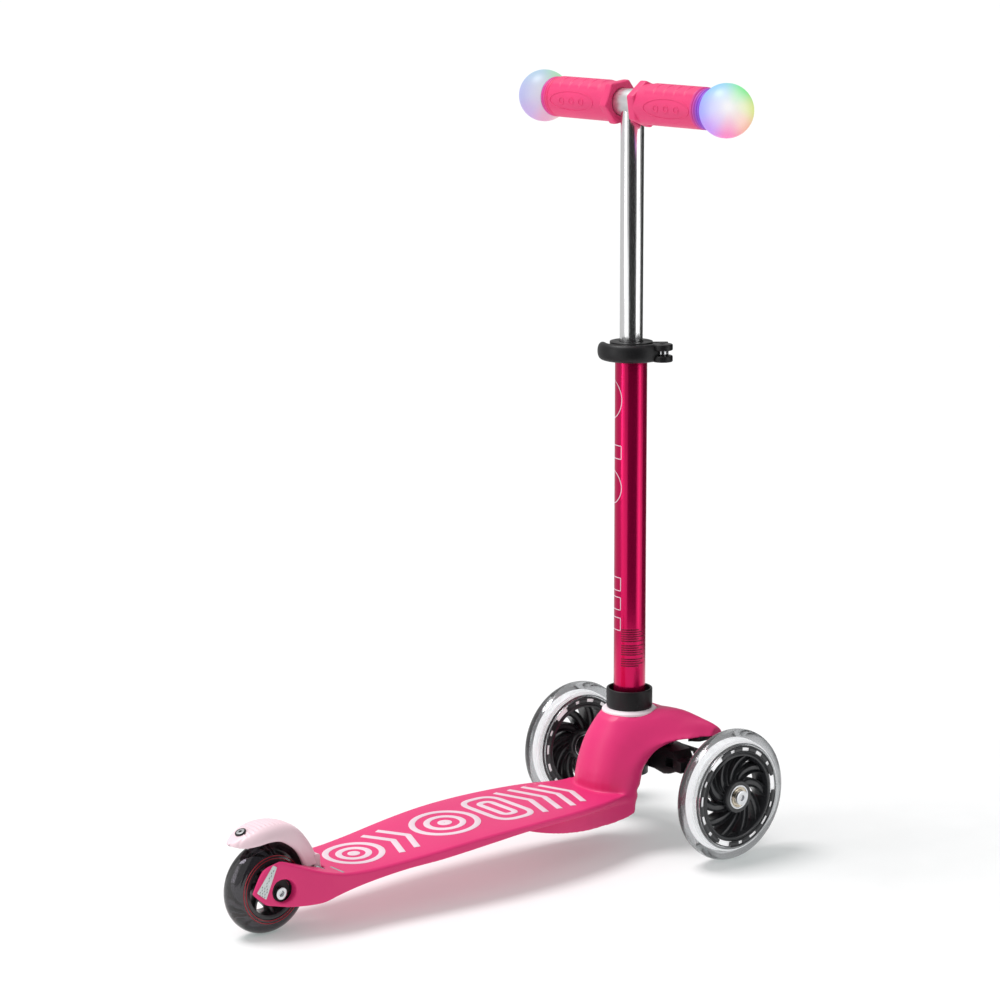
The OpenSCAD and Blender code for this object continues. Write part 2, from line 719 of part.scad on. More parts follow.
module axle_bolt_right() {
    color("silver") mirror([0, 1, 0]) axle_bolt();
}
module tie_rod() {
    low = boss_low + lug_t + 2 * free_gap;
    thick = 4;
    color("dimgray") translate([front_x, 0, kingpin_z]) rotate([0, kingpin_lean, 0])
        translate([lever_len, 0, low]) difference() {
            union() {
                both_sides() translate([0, kingpin_y, 0]) cylinder(r = 6, h = thick);
                translate([-3, -kingpin_y, 0]) cube([6, 2 * kingpin_y, thick]);
            }
            both_sides() translate([-1.3, kingpin_y - 2.8, -1]) cube([2.6, 5.6, thick + 2]);
            both_sides() for (s = [-1.3, 1.3]) translate([s, kingpin_y, -1])
                cylinder(r = 2.8, h = thick + 2);
        }
}

module front_wheel_at(side) {
    translate([front_x, side * half_track, front_r]) mirror([0, (1 - side) / 2, 0]) children();
}
module front_tyre_left() {
    color("whitesmoke") front_wheel_at(1) tyre(front_r, 40, 43);
}
module front_tyre_right() {
    color("whitesmoke") front_wheel_at(-1) tyre(front_r, 40, 43);
}
module front_hub_left() {
    color("dimgray") front_wheel_at(1) hub(40, 36, 12, 38);
}
module front_hub_right() {
    color("dimgray") front_wheel_at(-1) hub(40, 36, 12, 38);
}
module led_ring() {
    difference() {
        tube_y(42.4, 40, -4, 4);
        for (a = [0:45:315]) rotate([0, a, 0]) translate([41, -2.5, -2.5]) cube([5, 5, 5]);
    }
}
module led_ring_left() {
    color("white") front_wheel_at(1) led_ring();
}
module led_ring_right() {
    color("white") front_wheel_at(-1) led_ring();
}
module front_bearings_left() {
    color("silver") front_wheel_at(1) bearings();
}
module front_bearings_right() {
    color("silver") front_wheel_at(-1) bearings();
}
module front_spacer_left() {
    color("silver") front_wheel_at(1) spacer();
}
module front_spacer_right() {
    color("silver") front_wheel_at(-1) spacer();
}

deck_frame();
deck_print();
neck_trim_ring();
steering_collar();
front_chassis();
arch_liner();
chassis_screws();
kingpins();
steering_springs();
rear_axle_bolt();
rear_axle_nut();
rear_axle_washers();
arm_reflectors();
brake_hinge_pin();
brake_spring();
stem_tube();
stem_plug();
stem_bush();
clamp_collar();
clamp_bolt();
clamp_nut();
clamp_lever();
latch_button();
latch_spring();
inner_post();
post_foot();
crossbar();
grip_left();
grip_right();
light_ball_left();
light_ball_right();
light_board_left();
light_board_right();
ball_battery_left();
ball_battery_right();
rear_tyre();
rear_hub();
rear_bearings();
rear_spacer();
brake_fender();
brake_plate();
fender_rivet();
knuckle_left();
knuckle_right();
axle_bolt_left();
axle_bolt_right();
tie_rod();
front_tyre_left();
front_tyre_right();
front_hub_left();
front_hub_right();
led_ring_left();
led_ring_right();
front_bearings_left();
front_bearings_right();
front_spacer_left();
front_spacer_right();
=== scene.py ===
import bmesh
import bpy
import numpy as np
from math import asin, copysign, cos, degrees, exp, pi, radians, sin, sqrt, tan
from mathutils import Matrix, Vector


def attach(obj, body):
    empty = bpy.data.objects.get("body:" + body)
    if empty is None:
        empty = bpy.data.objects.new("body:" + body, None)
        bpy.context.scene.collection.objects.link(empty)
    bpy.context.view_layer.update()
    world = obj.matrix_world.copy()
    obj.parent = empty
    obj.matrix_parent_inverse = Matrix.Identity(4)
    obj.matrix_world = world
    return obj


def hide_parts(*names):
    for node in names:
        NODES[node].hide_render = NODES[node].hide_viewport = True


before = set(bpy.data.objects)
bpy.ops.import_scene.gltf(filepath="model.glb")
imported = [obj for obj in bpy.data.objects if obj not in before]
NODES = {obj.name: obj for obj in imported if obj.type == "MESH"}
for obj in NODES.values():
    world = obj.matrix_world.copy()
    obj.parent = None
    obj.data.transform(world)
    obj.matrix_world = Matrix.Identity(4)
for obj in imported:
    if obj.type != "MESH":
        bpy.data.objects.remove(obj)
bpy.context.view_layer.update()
TAU = 2 * pi
MM = 0.001

# Places shared with the CAD, in metres
FRONT_X, REAR_X = 0.2065, -0.2265
FRONT_R, REAR_R = 0.060, 0.040
HALF_TRACK = 0.1062
STEM_X, STEM_R = 0.1795, 0.0145
STEM_AXIS = (STEM_X, 0, 0)
RING_Z, COLLAR_Z, COLLAR_TOP = 0.121, 0.124, 0.142
CLAMP_Z, BAR_Z = 0.45275, 0.672
GRIP_R, BALL_R, BALL_Y = 0.0180, 0.0234, 0.120
HINGE_X, HINGE_Z = REAR_X + 0.0445, 0.050
RIVET_AT = (FRONT_X - 0.4565, 0, 0.0917)
# How far the recesses round the rear axle's ends sit ahead of and above its bolt, in metres
RECESS_AHEAD, RECESS_ABOVE = 0.0015, 0.0022
# The axles again in mm, for the outlines that are in mm
FRONT_AXLE_X = 206.5
REAR_AXLE_X, REAR_AXLE_Z = -226.5, 40
# Camera angles in degrees, lens in mm and place in metres
CAMERA_YAW, CAMERA_PITCH, CAMERA_ROLL = 50.91, 11.72, -0.2
CAMERA_LENS, CAMERA_AT = 109.62, (-1.60554, -2.01089, 0.87381)


# ---- mesh tools
def mesh_object(name, verts, faces, smooth=True):
    """New object from points and faces, welded and with its faces outward."""
    mesh = bpy.data.meshes.new(name)
    mesh.from_pydata([tuple(v) for v in verts], [], faces)
    bm = bmesh.new()
    bm.from_mesh(mesh)
    bmesh.ops.remove_doubles(bm, verts=bm.verts, dist=1e-6)
    bmesh.ops.recalc_face_normals(bm, faces=bm.faces)
    bm.to_mesh(mesh)
    bm.free()
    obj = bpy.data.objects.new(name, mesh)
    bpy.context.scene.collection.objects.link(obj)
    if smooth:
        shade(obj)
    return obj


def shade(obj, angle=38):
    """Smooth shading except across edges sharper than angle, in degrees."""
    bpy.ops.object.select_all(action="DESELECT")
    obj.select_set(True)
    bpy.context.view_layer.objects.active = obj
    bpy.ops.object.shade_smooth_by_angle(angle=radians(angle))


def grid(rows, wrap_rows=False, wrap_cols=True, caps=False):
    """Faces over rows of points; every row has the same number of points."""
    n, m = len(rows), len(rows[0])
    verts = [p for row in rows for p in row]
    faces = []
    for i in range(n if wrap_rows else n - 1):
        for k in range(m if wrap_cols else m - 1):
            a, b = i * m + k, i * m + (k + 1) % m
            c, d = ((i + 1) % n) * m + (k + 1) % m, ((i + 1) % n) * m + k
            faces.append((a, b, c, d))
    if caps:
        faces.append(tuple(range(m)))
        faces.append(tuple((n - 1) * m + k for k in reversed(range(m))))
    return verts, faces


def join(name, parts):
    """One object from several (points, faces) pairs."""
    verts, faces = [], []
    for v, f in parts:
        start = len(verts)
        verts += list(v)
        faces += [tuple(i + start for i in face) for face in f]
    return mesh_object(name, verts, faces)


def box(u0, u1, v0, v1):
    """Corners of a rectangle."""
    return [(u0, v0), (u1, v0), (u1, v1), (u0, v1)]


def oval(u, v, reach_u, reach_v, n):
    """Closed oval of n points about (u, v)."""
    return [(u + reach_u * cos(TAU * k / n), v + reach_v * sin(TAU * k / n)) for k in range(n)]


def both_sides(half):
    """Outline from its half, mirrored in the second coordinate."""
    return half + [(u, -v) for u, v in reversed(half)]


def eased(value, power):
    """Power of a value's size, with its sign kept."""
    return copysign(abs(value) ** power, value)


def rounded(points, radius, steps=4, closed=True):
    """Outline with its corners rounded; a point may carry its own radius."""
    out, n = [], len(points)
    for i, p in enumerate(points):
        r = p[2] if len(p) > 2 else radius
        q = Vector(p[:2])
        if r <= 0 or (not closed and i in (0, n - 1)):
            out.append((q.x, q.y))
            continue
        a, b = Vector(points[i - 1][:2]) - q, Vector(points[(i + 1) % n][:2]) - q
        turn = a.angle(b)
        if turn > radians(176):
            out.append((q.x, q.y))
            continue
        cut = min(r / tan(turn / 2), 0.46 * a.length, 0.46 * b.length)
        start, end = q + a.normalized() * cut, q + b.normalized() * cut
        for k in range(steps + 1):
            t = k / steps
            w = start * (1 - t) ** 2 + q * 2 * t * (1 - t) + end * t * t
            out.append((w.x, w.y))
    return out


def lathe(profile, middle, segments, axis="y", side=1):
    """Closed outline of (radius, distance along the axis) turned about an axis through middle."""
    rows = []
    for r, h in profile:
        row = []
        for k in range(segments):
            c, s = cos(TAU * k / segments) * r, sin(TAU * k / segments) * r
            p = (c, side * h, s) if axis == "y" else (c, s, h)
            row.append(Vector(middle) + Vector(p))
        rows.append(row)
    return grid(rows, wrap_rows=True)


def spline(points, steps):
    """Smooth curve through points of any number of coordinates."""
    pts = [Vector(p) for p in points]
    out = []
    for i in range(len(pts) - 1):
        a, b, c, d = pts[max(i - 1, 0)], pts[i], pts[i + 1], pts[min(i + 2, len(pts) - 1)]
        for k in range(steps):
            t = k / steps
            out.append(0.5 * (2 * b + (c - a) * t + (2 * a - 5 * b + 4 * c - d) * t * t
                              + (3 * b - a - 3 * c + d) * t ** 3))
    return out + [pts[-1]]


def place(obj, body, slot, material, *replaced):
    """Give an object its material and body, and hide the CAD nodes it stands in for; slot is not used."""
    obj.data.materials.clear()
    obj.data.materials.append(material)
    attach(obj, body)
    if replaced:
        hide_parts(*replaced)


# ---- materials
def nodes_of(name):
    """New material with its node tree and its Principled shader."""
    mat = bpy.data.materials.new(name)
    mat.use_nodes = True
    tree = mat.node_tree
    return mat, tree, tree.nodes["Principled BSDF"]


def add(tree, kind, **values):
    """New node; each keyword is one of its settings or, failing that, an input."""
    node = tree.nodes.new(kind)
    for key, value in values.items():
        if hasattr(node, key):
            setattr(node, key, value)
        else:
            node.inputs[key.replace("_", " ")].default_value = value
    return node


def remapped(tree, source, *limits):
    """A source mapped from the first two limits onto the next two, or onto 0 to 1."""
    node = add(tree, "ShaderNodeMapRange")
    for socket, value in zip(("From Min", "From Max", "To Min", "To Max"), limits):
        node.inputs[socket].default_value = value
    tree.links.new(source, node.inputs["Value"])
    return node.outputs["Result"]


def roughened(tree, shader, noise, strength):
    """Fine surface relief from a noise node."""
    relief = add(tree, "ShaderNodeBump", Strength=strength, Distance=0.0004)
    tree.links.new(noise.outputs["Fac"], relief.inputs["Height"])
    tree.links.new(relief.outputs["Normal"], shader.inputs["Normal"])


def mixed(tree, share, first, second, blend_type="MIX"):
    """Colour mix; the inputs are outputs to link or values."""
    node = add(tree, "ShaderNodeMix", data_type="RGBA", blend_type=blend_type)
    for index, value in ((0, share), (6, first), (7, second)):
        if isinstance(value, bpy.types.NodeSocket):
            tree.links.new(value, node.inputs[index])
        else:
            node.inputs[index].default_value = value
    return node.outputs[2]


def finish_of(name, base, rough=0.4, metal=0.0, grain=1500.0, bump=0.06, tone=0.05, spread=0.06,
              stretch=(1, 1, 1), coat=0.0, transmission=0.0, ior=1.5, sheen=0.0, glow=0.0,
              glow_color=(1, 1, 1)):
    """Principled finish whose colour, roughness and surface vary at two scales."""
    mat, tree, shader = nodes_of(name)
    link = tree.links.new
    coords = add(tree, "ShaderNodeTexCoord")
    mapping = add(tree, "ShaderNodeMapping")
    mapping.inputs["Scale"].default_value = stretch
    link(coords.outputs["Object"], mapping.inputs["Vector"])
    fine = add(tree, "ShaderNodeTexNoise", Scale=grain, Detail=3.0, Roughness=0.6)
    broad = add(tree, "ShaderNodeTexNoise", Scale=22.0, Detail=2.0, Roughness=0.5)
    for noise in (fine, broad):
        link(mapping.outputs["Vector"], noise.inputs["Vector"])
    ramp = add(tree, "ShaderNodeValToRGB")
    ramp.color_ramp.elements[0].position, ramp.color_ramp.elements[1].position = 0.3, 0.7
    for element, k in zip(ramp.color_ramp.elements, (1 - tone, 1 + tone)):
        element.color = tuple(min(1.0, c * k) for c in base) + (1.0,)
    link(broad.outputs["Fac"], ramp.inputs["Fac"])
    link(ramp.outputs["Color"], shader.inputs["Base Color"])
    limits = max(rough - spread, 0.02), min(rough + spread, 1.0)
    wear = remapped(tree, fine.outputs["Fac"], 0.3, 0.7, *limits)
    link(wear, shader.inputs["Roughness"])
    roughened(tree, shader, fine, bump)
    for socket, value in (("Metallic", metal), ("Coat Weight", coat), ("Coat Roughness", 0.08),
                          ("Transmission Weight", transmission), ("IOR", ior), ("Sheen Weight", sheen)):
        shader.inputs[socket].default_value = value
    if glow:
        shader.inputs["Emission Color"].default_value = glow_color + (1.0,)
        shader.inputs["Emission Strength"].default_value = glow
    return mat


PINK = finish_of("moulded_pink", (0.72, 0.027, 0.170), 0.42, grain=1800, bump=0.05, tone=0.03, ior=1.42)
PALE = finish_of("pale_print", (0.74, 0.60, 0.66), 0.6, grain=1200, bump=0.3, tone=0.06)
TRIM = finish_of("pale_ring", (0.80, 0.70, 0.74), 0.45, grain=1400, bump=0.05)
BLACK = finish_of("grained_black", (0.009, 0.009, 0.010), 0.42, grain=2400, bump=0.12, tone=0.2, ior=1.36)
CHARCOAL = finish_of("moulded_charcoal", (0.026, 0.027, 0.030), 0.30, grain=1600, bump=0.06, tone=0.15,
                     coat=0.1)
MAGENTA = finish_of("anodised_magenta", (0.60, 0.0, 0.088), 0.22, 0.78, grain=900, bump=0.0, tone=0.04,
                    spread=0.02, stretch=(1, 1, 0.04), coat=0.1)
MARKING = finish_of("dark_marking", (0.20, 0.0, 0.03), 0.35, 0.5, grain=900, bump=0.0, tone=0.1)
POLISHED = finish_of("polished_aluminium", (0.92, 0.92, 0.925), 0.20, 1.0, grain=1100, bump=0.0, tone=0.02,
                     spread=0.02, stretch=(1, 1, 0.05))
BRUSHED = finish_of("brushed_aluminium", (0.80, 0.80, 0.81), 0.34, 1.0, grain=1500, bump=0.02, tone=0.03,
                    spread=0.05, stretch=(1, 0.06, 1))
ZINC = finish_of("zinc_steel", (0.66, 0.67, 0.69), 0.24, 1.0, grain=1300, bump=0.04, tone=0.08)
RACE = finish_of("bearing_race", (0.62, 0.55, 0.44), 0.2, 1.0, grain=1300, bump=0.03, tone=0.08)
WIRE = finish_of("spring_wire", (0.42, 0.42, 0.44), 0.3, 1.0, grain=2000, bump=0.06, tone=0.1)
NYLON = finish_of("white_nylon", (0.82, 0.82, 0.80), 0.5, grain=1500, bump=0.06)
CELL = finish_of("battery_cell", (0.72, 0.72, 0.74), 0.2, 1.0, grain=900, bump=0.02)
BOARD = finish_of("circuit_board", (0.62, 0.74, 0.66), 0.4, grain=1200, bump=0.05)
CLEAR = finish_of("clear_urethane", (0.46, 0.47, 0.48), 0.10, grain=500, bump=0.0, tone=0.01, spread=0.02,
                  transmission=0.93, ior=1.47)
SMOKE = finish_of("smoky_urethane", (0.034, 0.031, 0.037), 0.05, grain=700, bump=0.0, tone=0.05, spread=0.02,
                  transmission=0.88, ior=1.48, coat=0.3)
LAMP = finish_of("lamp_band", (0.90, 0.90, 0.92), 0.3, grain=900, bump=0.02, glow=0.85)
LIT = finish_of("lit_window", (0.80, 0.80, 0.82), 0.3, grain=900, bump=0.02, glow=0.35)
ACCENT = finish_of("red_accent", (0.36, 0.015, 0.03), 0.3, grain=900, bump=0.03)
FENDER = finish_of("moulded_pale_pink", (0.80, 0.60, 0.655), 0.42, grain=1700, bump=0.06, tone=0.03)
FILM = finish_of("reflective_film", (0.62, 0.66, 0.66), 0.25, 0.3, grain=3000, bump=0.1, tone=0.08)
DASH = finish_of("film_dash", (0.07, 0.085, 0.085), 0.4, grain=2000, bump=0.05)


def glow_painted_end(name, y_from, y_to, painted_glow_tint):
    """Grip rubber with the ball's coloured glow painted into its colour near the outer end."""
    mat = finish_of(name, (0.78, 0.030, 0.165), 0.5, grain=2200, bump=0.12, tone=0.04, sheen=0.08)
    tree = mat.node_tree
    shader = tree.nodes["Principled BSDF"]
    coords = add(tree, "ShaderNodeTexCoord")
    split = add(tree, "ShaderNodeSeparateXYZ")
    tree.links.new(coords.outputs["Object"], split.inputs["Vector"])
    # Painted glow: over the grip's last few mm its colour runs toward the ball's light colour.
    share = remapped(tree, split.outputs["Y"], y_from, y_to)
    base = shader.inputs["Base Color"].links[0].from_socket
    tree.links.new(mixed(tree, share, base, painted_glow_tint + (1.0,)), shader.inputs["Base Color"])
    return mat


# ---- deck, neck and arch
def outline_curve(steps, *points):
    """Smooth curve in mm through points whose first coordinate is measured from the front axle."""
    return spline([(x + FRONT_AXLE_X, value) for x, value in points], steps)


# Along the deck: the height of its top, its half width and the height of its belly's edge
DECK_TOP = outline_curve(
    5, (-451.2, 56.8), (-442.4, 67.9), (-437, 69.3), (-430, 67), (-420, 62.8), (-404, 56.6), (-390, 52.3),
    (-375, 49.5), (-350, 49), (-320, 50.6), (-290, 53), (-260, 55.4), (-230, 57.2), (-195, 58),
    (-160, 58), (-115, 57.2), (-80, 55.6), (-46, 55))
DECK_HALF = outline_curve(
    5, (-461, 24), (-447, 24), (-437, 24.3), (-426, 28), (-410, 33.5), (-390, 38.8), (-360, 40.5),
    (-320, 44.8), (-280, 49.6), (-240, 53), (-200, 54.5), (-160, 53.4), (-126, 50.3), (-97, 44.8),
    (-72, 38), (-46, 36.5))
DECK_LOW = outline_curve(
    5, (-447, 32), (-434, 28.6), (-420, 26.7), (-400, 27), (-384, 31.2), (-366, 34.6), (-341, 38.4),
    (-314, 41.4), (-284, 43.2), (-256, 45.7), (-226, 48.4), (-195, 50.5), (-160, 50.8),
    (-110, 50), (-46, 48))


def curve_at(curve, x):
    """Second coordinate of a curve at x, which may be an array."""
    return np.interp(x, [p[0] for p in curve], [p[1] for p in curve])


def ramp(x, start, end):
    """0 before start and 1 past end, with a soft rise between; end may be the lower."""
    t = np.clip((x - start) / (end - start), 0.0, 1.0)
    return t * t * (3 - 2 * t)


def crown(x, y):
    """How far the deck's top falls below its middle, in mm, at x and y in mm."""
    edge = np.minimum(np.abs(y) / curve_at(DECK_HALF, x), 1.04)
    return ramp(x, -180, -145) * ramp(x, 145, 120) * 1.3 * edge ** 6


def rounded_edge(side, z, half, level, radius, up):
    """Points past a sharp edge drawn onto a quarter circle; up is 1 for a top edge, -1 for a bottom one."""
    u, v = side - (half - radius), up * (z - level) + radius
    inside = (u > 0) & (v > 0) & (v < radius + 0.9) & (radius > 0.3)
    k = np.where(inside, radius / np.maximum(np.hypot(u, v), 1e-6), 1.0)
    return half - radius + u * k, level + up * (v * k - radius)


def relaxed(points, edges, share, rounds):
    """Points drawn toward their neighbours where share is above 0, with the shrinkage put back."""
    near = edges[(share[edges] > 0).all(axis=1)]
    a, b = np.concatenate([near[:, 0], near[:, 1]]), np.concatenate([near[:, 1], near[:, 0]])
    total = len(points)
    count = np.maximum(np.bincount(a, minlength=total), 1)

    def drawn(spots):
        spots = spots.copy()
        for _ in range(rounds):
            for axis in range(3):
                mean = np.bincount(a, weights=spots[b, axis], minlength=total) / count
                spots[:, axis] += 0.5 * share * (mean - spots[:, axis])
        return spots

    return drawn(2 * points - drawn(points))


def remeshed(source, name):
    """Copy of a CAD node as one even skin of small faces, lightly smoothed."""
    obj = source.copy()
    obj.data = source.data.copy()
    obj.name = name
    obj.parent = None
    bpy.context.scene.collection.objects.link(obj)
    obj.modifiers.clear()
    weld = obj.modifiers.new("weld", "WELD")
    weld.merge_threshold = 2e-5
    remesh = obj.modifiers.new("remesh", "REMESH")
    remesh.mode, remesh.voxel_size, remesh.adaptivity = "VOXEL", 0.0009, 0.0
    remesh.use_smooth_shade = True
    soften = obj.modifiers.new("soften", "SMOOTH")
    soften.factor, soften.iterations = 0.5, 14
    deps = bpy.context.evaluated_depsgraph_get()
    mesh = bpy.data.meshes.new_from_object(obj.evaluated_get(deps))
    obj.modifiers.clear()
    obj.data = mesh
    return obj


def body_shell():
    """Deck, neck and arch: the deck's edges rounded, its top crowned and the neck relaxed into it."""
    obj = remeshed(NODES["deck_frame"], "body_shell")
    mesh = obj.data
    flat = np.empty(len(mesh.vertices) * 3)
    mesh.vertices.foreach_get("co", flat)
    x, y, z = (flat.reshape(-1, 3) / MM).T
    side, half, top = np.abs(y), curve_at(DECK_HALF, x), curve_at(DECK_TOP, x)
    drop = crown(x, side)
    z = z - drop * ramp(z, top - 6, top - 1) * (z < top + 1)
    side, z = rounded_edge(side, z, half, top - drop, 2.4 * ramp(x, -230, -222) * ramp(x, 144.5, 131.5), 1)
    low = curve_at(DECK_LOW, x)
    side, z = rounded_edge(side, z, half, low, 2.6 * ramp(x, -227, -219) * ramp(x, 126.5, 111.5), -1)
    moved = np.stack([x, np.where(y < 0, -side, side), z], axis=1)
    pairs = np.empty(len(mesh.edges) * 2, dtype=np.int64)
    mesh.edges.foreach_get("vertices", pairs)
    neck = ramp(x, 116, 128) * ramp(z, top - 18, top - 8) * ramp(z, 119, 113) * ramp(side, 46, 38)
    neck *= ramp(z + 1.6 * (x - 140), top, top + 8)
    moved = relaxed(moved, pairs.reshape(-1, 2), neck, 140) * MM
    mesh.vertices.foreach_set("co", moved.ravel())
    mesh.polygons.foreach_set("use_smooth", [True] * len(mesh.polygons))
    mesh.update()
    place(obj, "chassis", "pink_body", PINK, "deck_frame")


body_shell()


def stroke(path, width, closed, lift=0.35):
    """Raised band on the deck along a path of (x, y) in mm."""
    section = [(-0.5, -0.5), (-0.5, 0.55), (-0.42, 1.0), (0.0, 1.0), (0.42, 1.0), (0.5, 0.55), (0.5, -0.5)]
    rows, n = [], len(path)
    for i, p in enumerate(path):
        before = path[i - 1] if closed or i else p
        after = path[(i + 1) % n] if closed or i < n - 1 else p
        along = (Vector(after) - Vector(before)).normalized()
        across = Vector((-along.y, along.x))
        row = []
        for s, h in section:
            x, y = p[0] + across.x * s * width, p[1] + across.y * s * width
            z = float(curve_at(DECK_TOP, x) - crown(x, y)) + h * lift
            row.append(Vector((x, y, z)) * MM)
        rows.append(row)
    return grid(rows, wrap_rows=closed, caps=not closed)


def dense(path, step=2.0, closed=False):
    """The same path with points at most about a step apart."""
    out, n = [], len(path)
    for i in range(n if closed else n - 1):
        a, b = Vector(path[i]), Vector(path[(i + 1) % n])
        count = max(1, int((b - a).length / step))
        out += [tuple(a.lerp(b, k / count)) for k in range(count)]
    return out if closed else out + [tuple(path[-1])]


def chevron(x, reach, width):
    """Raised arrow across the deck with its tip at x."""
    path = rounded([(x - 12, -reach), (x, 0, 3), (x - 12, reach)], 4, 5, False)
    return stroke(dense(path), width, False)


def box_stroke(x0, x1, reach, radius, steps, width):
    """Raised box with rounded corners, centred on the deck's middle line."""
    return stroke(dense(rounded(box(x0, x1, -reach, reach), radius, steps), 2, True), width, True)


def deck_print():
    """Raised rings, arrows and boxes along the deck."""
    wide, rear, front = 5.6, -134.5, -35.5
    parts = [stroke(oval(rear, 0, r, r, 72), wide, True) for r in (24.4, 13)]
    parts += [stroke(oval(rear, 0, 2.8, 2.8, 24), 5.4, True)]
    parts += [chevron(x, 29, wide) for x in (-92, -76)]
    parts += [stroke(oval(front, 0, r, r, 72), wide, True) for r in (29, 16)]
    parts += [stroke(oval(front, 0, 3.5, 3.5, 24), 6, True)]
    parts += [box_stroke(5, 42, 33, 16, 8, wide), box_stroke(17, 30, 20, 7, 6, wide)]
    parts += [chevron(x, reach, wide) for x, reach in ((62, 36), (78, 36), (94, 36), (110, 31))]
    place(join("deck_markings", parts), "chassis", "pale_trim", PALE, "deck_print")


def axle_cups():
    """Black lining of the two recesses round the rear axle's ends."""
    parts = []
    for side in (-1, 1):
        floor, lip, lining = side * 0.02002, side * 0.0226, side * 0.02030
        profile = rounded([(0.0005, floor), (0.0096, floor), (0.0096, lip), (0.0088, lip), (0.0086, lining),
                           (0.0005, lining)], 0.0001, 2)
        parts.append(lathe(profile, (REAR_X + RECESS_AHEAD, 0, REAR_R + RECESS_ABOVE), 96))
    place(join("axle_cups", parts), "chassis", "black_plastic", BLACK)


def hinge_inlays():
    """Two short metal strips across the deck just ahead of the fender."""
    parts = [stroke(dense([(-171.5, s * 17.5), (-171.5, s * 36.5)]), 2.6, False, 0.25) for s in (-1, 1)]
    place(join("hinge_inlays", parts), "chassis", "steel", ZINC)


deck_print()
axle_cups()
hinge_inlays()


# ---- collar and trim at the stem's foot
def stem_foot():
    """Pale ring on the arch, and the black collar in which the stem stands."""
    ring = rounded([(0.0176, RING_Z - 0.0008), (0.0253, RING_Z - 0.0008), (0.0250, 0.1222), (0.0236, 0.1234),
                    (0.0212, COLLAR_Z + 0.0002), (0.0176, COLLAR_Z + 0.0002)], 0.0007, 4)
    place(join("trim_ring", [lathe(ring, STEM_AXIS, 128, "z")]), "chassis", "pale_trim", TRIM,
          "neck_trim_ring")
    collar = rounded([(0.01465, COLLAR_Z), (0.0203, COLLAR_Z), (0.0206, 0.1252), (0.0210, 0.1262),
                      (0.0210, COLLAR_TOP, 0.0012), (0.0188, COLLAR_TOP, 0.0008), (0.0182, 0.133),
                      (0.01465, 0.1312)], 0.0006, 5)
    place(join("stem_collar", [lathe(collar, STEM_AXIS, 128, "z")]), "chassis", "black_plastic", BLACK,
          "steering_collar")


stem_foot()


# ---- brake fender
# Along the fender: its crest and its lower edge seen from the side, and its half width
CREST = outline_curve(
    6, (-469.5, 84.3), (-464, 88), (-456.5, 91.7), (-446, 95), (-434, 96.3), (-422, 95.2), (-411, 91.3),
    (-402, 84.5), (-394, 74.5), (-388, 64), (-384, 54))
SKIRT = outline_curve(
    6, (-468.5, 83), (-461, 81.6), (-451, 82.4), (-440, 84), (-430, 83), (-422, 79), (-413, 71.5),
    (-407, 62), (-404, 54))
WIDE = outline_curve(
    6, (-468.6, 1), (-467.6, 5), (-465, 8), (-460.5, 11.5), (-453, 15), (-443, 17.5), (-430, 18),
    (-410, 17.2), (-398, 15.6), (-383, 14.5))


def along(curve, t):
    """Point at share t of a curve's length."""
    lengths = [0.0]
    for p, q in zip(curve, curve[1:]):
        lengths.append(lengths[-1] + (q - p).length)
    target = t * lengths[-1]
    for i in range(len(curve) - 1):
        if lengths[i + 1] >= target:
            f = (target - lengths[i]) / max(lengths[i + 1] - lengths[i], 1e-9)
            return curve[i].lerp(curve[i + 1], f)
    return curve[-1]


def fender_relief(t, y):
    """Height in mm of the ribs on the fender's crown and the crease on each side."""
    rib = 0.55 * sin(t * TAU * 26) * max(0.0, 1 - (y / 11) ** 4) if 0.13 < t < 0.72 else 0.0
    crease = -0.45 * exp(-((abs(y) - 8.2) / 0.9) ** 2) if t > 0.05 else 0.0
    return rib + crease


def fender_rows():
    """Rows of points across the fender, from its tail to its hinge."""
    rows, count = [], 168
    for i in range(count + 1):
        t = i / count
        top, low = along(CREST, t), along(SKIRT, t)
        outward = Vector((top[0] - REAR_AXLE_X, top[1] - REAR_AXLE_Z)).normalized()
        row = []
        for k in range(33):
            c, s = cos(pi * k / 32), sin(pi * k / 32)
            side = eased(c, 0.42)
            rise = abs(s) ** 0.72
            x = low[0] + (top[0] - low[0]) * rise
            z = low[1] + (top[1] - low[1]) * rise
            y = side * float(curve_at(WIDE, x)) * (0.94 + 0.06 * (1 - rise))
            proud = fender_relief(t, y)
            row.append(Vector((x + outward.x * proud, y, z + outward.y * proud)) * MM)
        rows.append(row)
    return rows


def brake_fender():
    """Fender shell with an even wall."""
    obj = mesh_object("fender_cover", *grid(fender_rows(), wrap_cols=False))
    thick = obj.modifiers.new("thick", "SOLIDIFY")
    thick.thickness, thick.offset, thick.use_even_offset = 0.0024, -1.0, False
    place(obj, "brake", "fender_plastic", FENDER, "brake_fender")


def fender_hinge():
    """Two barrels on the hinge pin, and the webs that carry the fender on them."""
    parts = []
    for y0, y1 in ((-0.013, -0.0046), (0.0046, 0.013)):
        barrel = rounded(box(0.00215, 0.0042, y0, y1), 0.0005, 3)
        parts.append(lathe(barrel, (HINGE_X, 0, HINGE_Z), 48))
    outline = rounded([(-0.0032, 0.001), (0.0034, 0.001), (0.0030, 0.0115), (-0.0016, 0.0125)], 0.001, 3)
    for ends in ((-0.0128, -0.0048), (0.0048, 0.0128)):
        parts.append(grid([[Vector((HINGE_X + x, y, HINGE_Z + z)) for x, z in outline] for y in ends],
                          caps=True))
    place(join("fender_hinge", parts), "brake", "fender_plastic", FENDER)


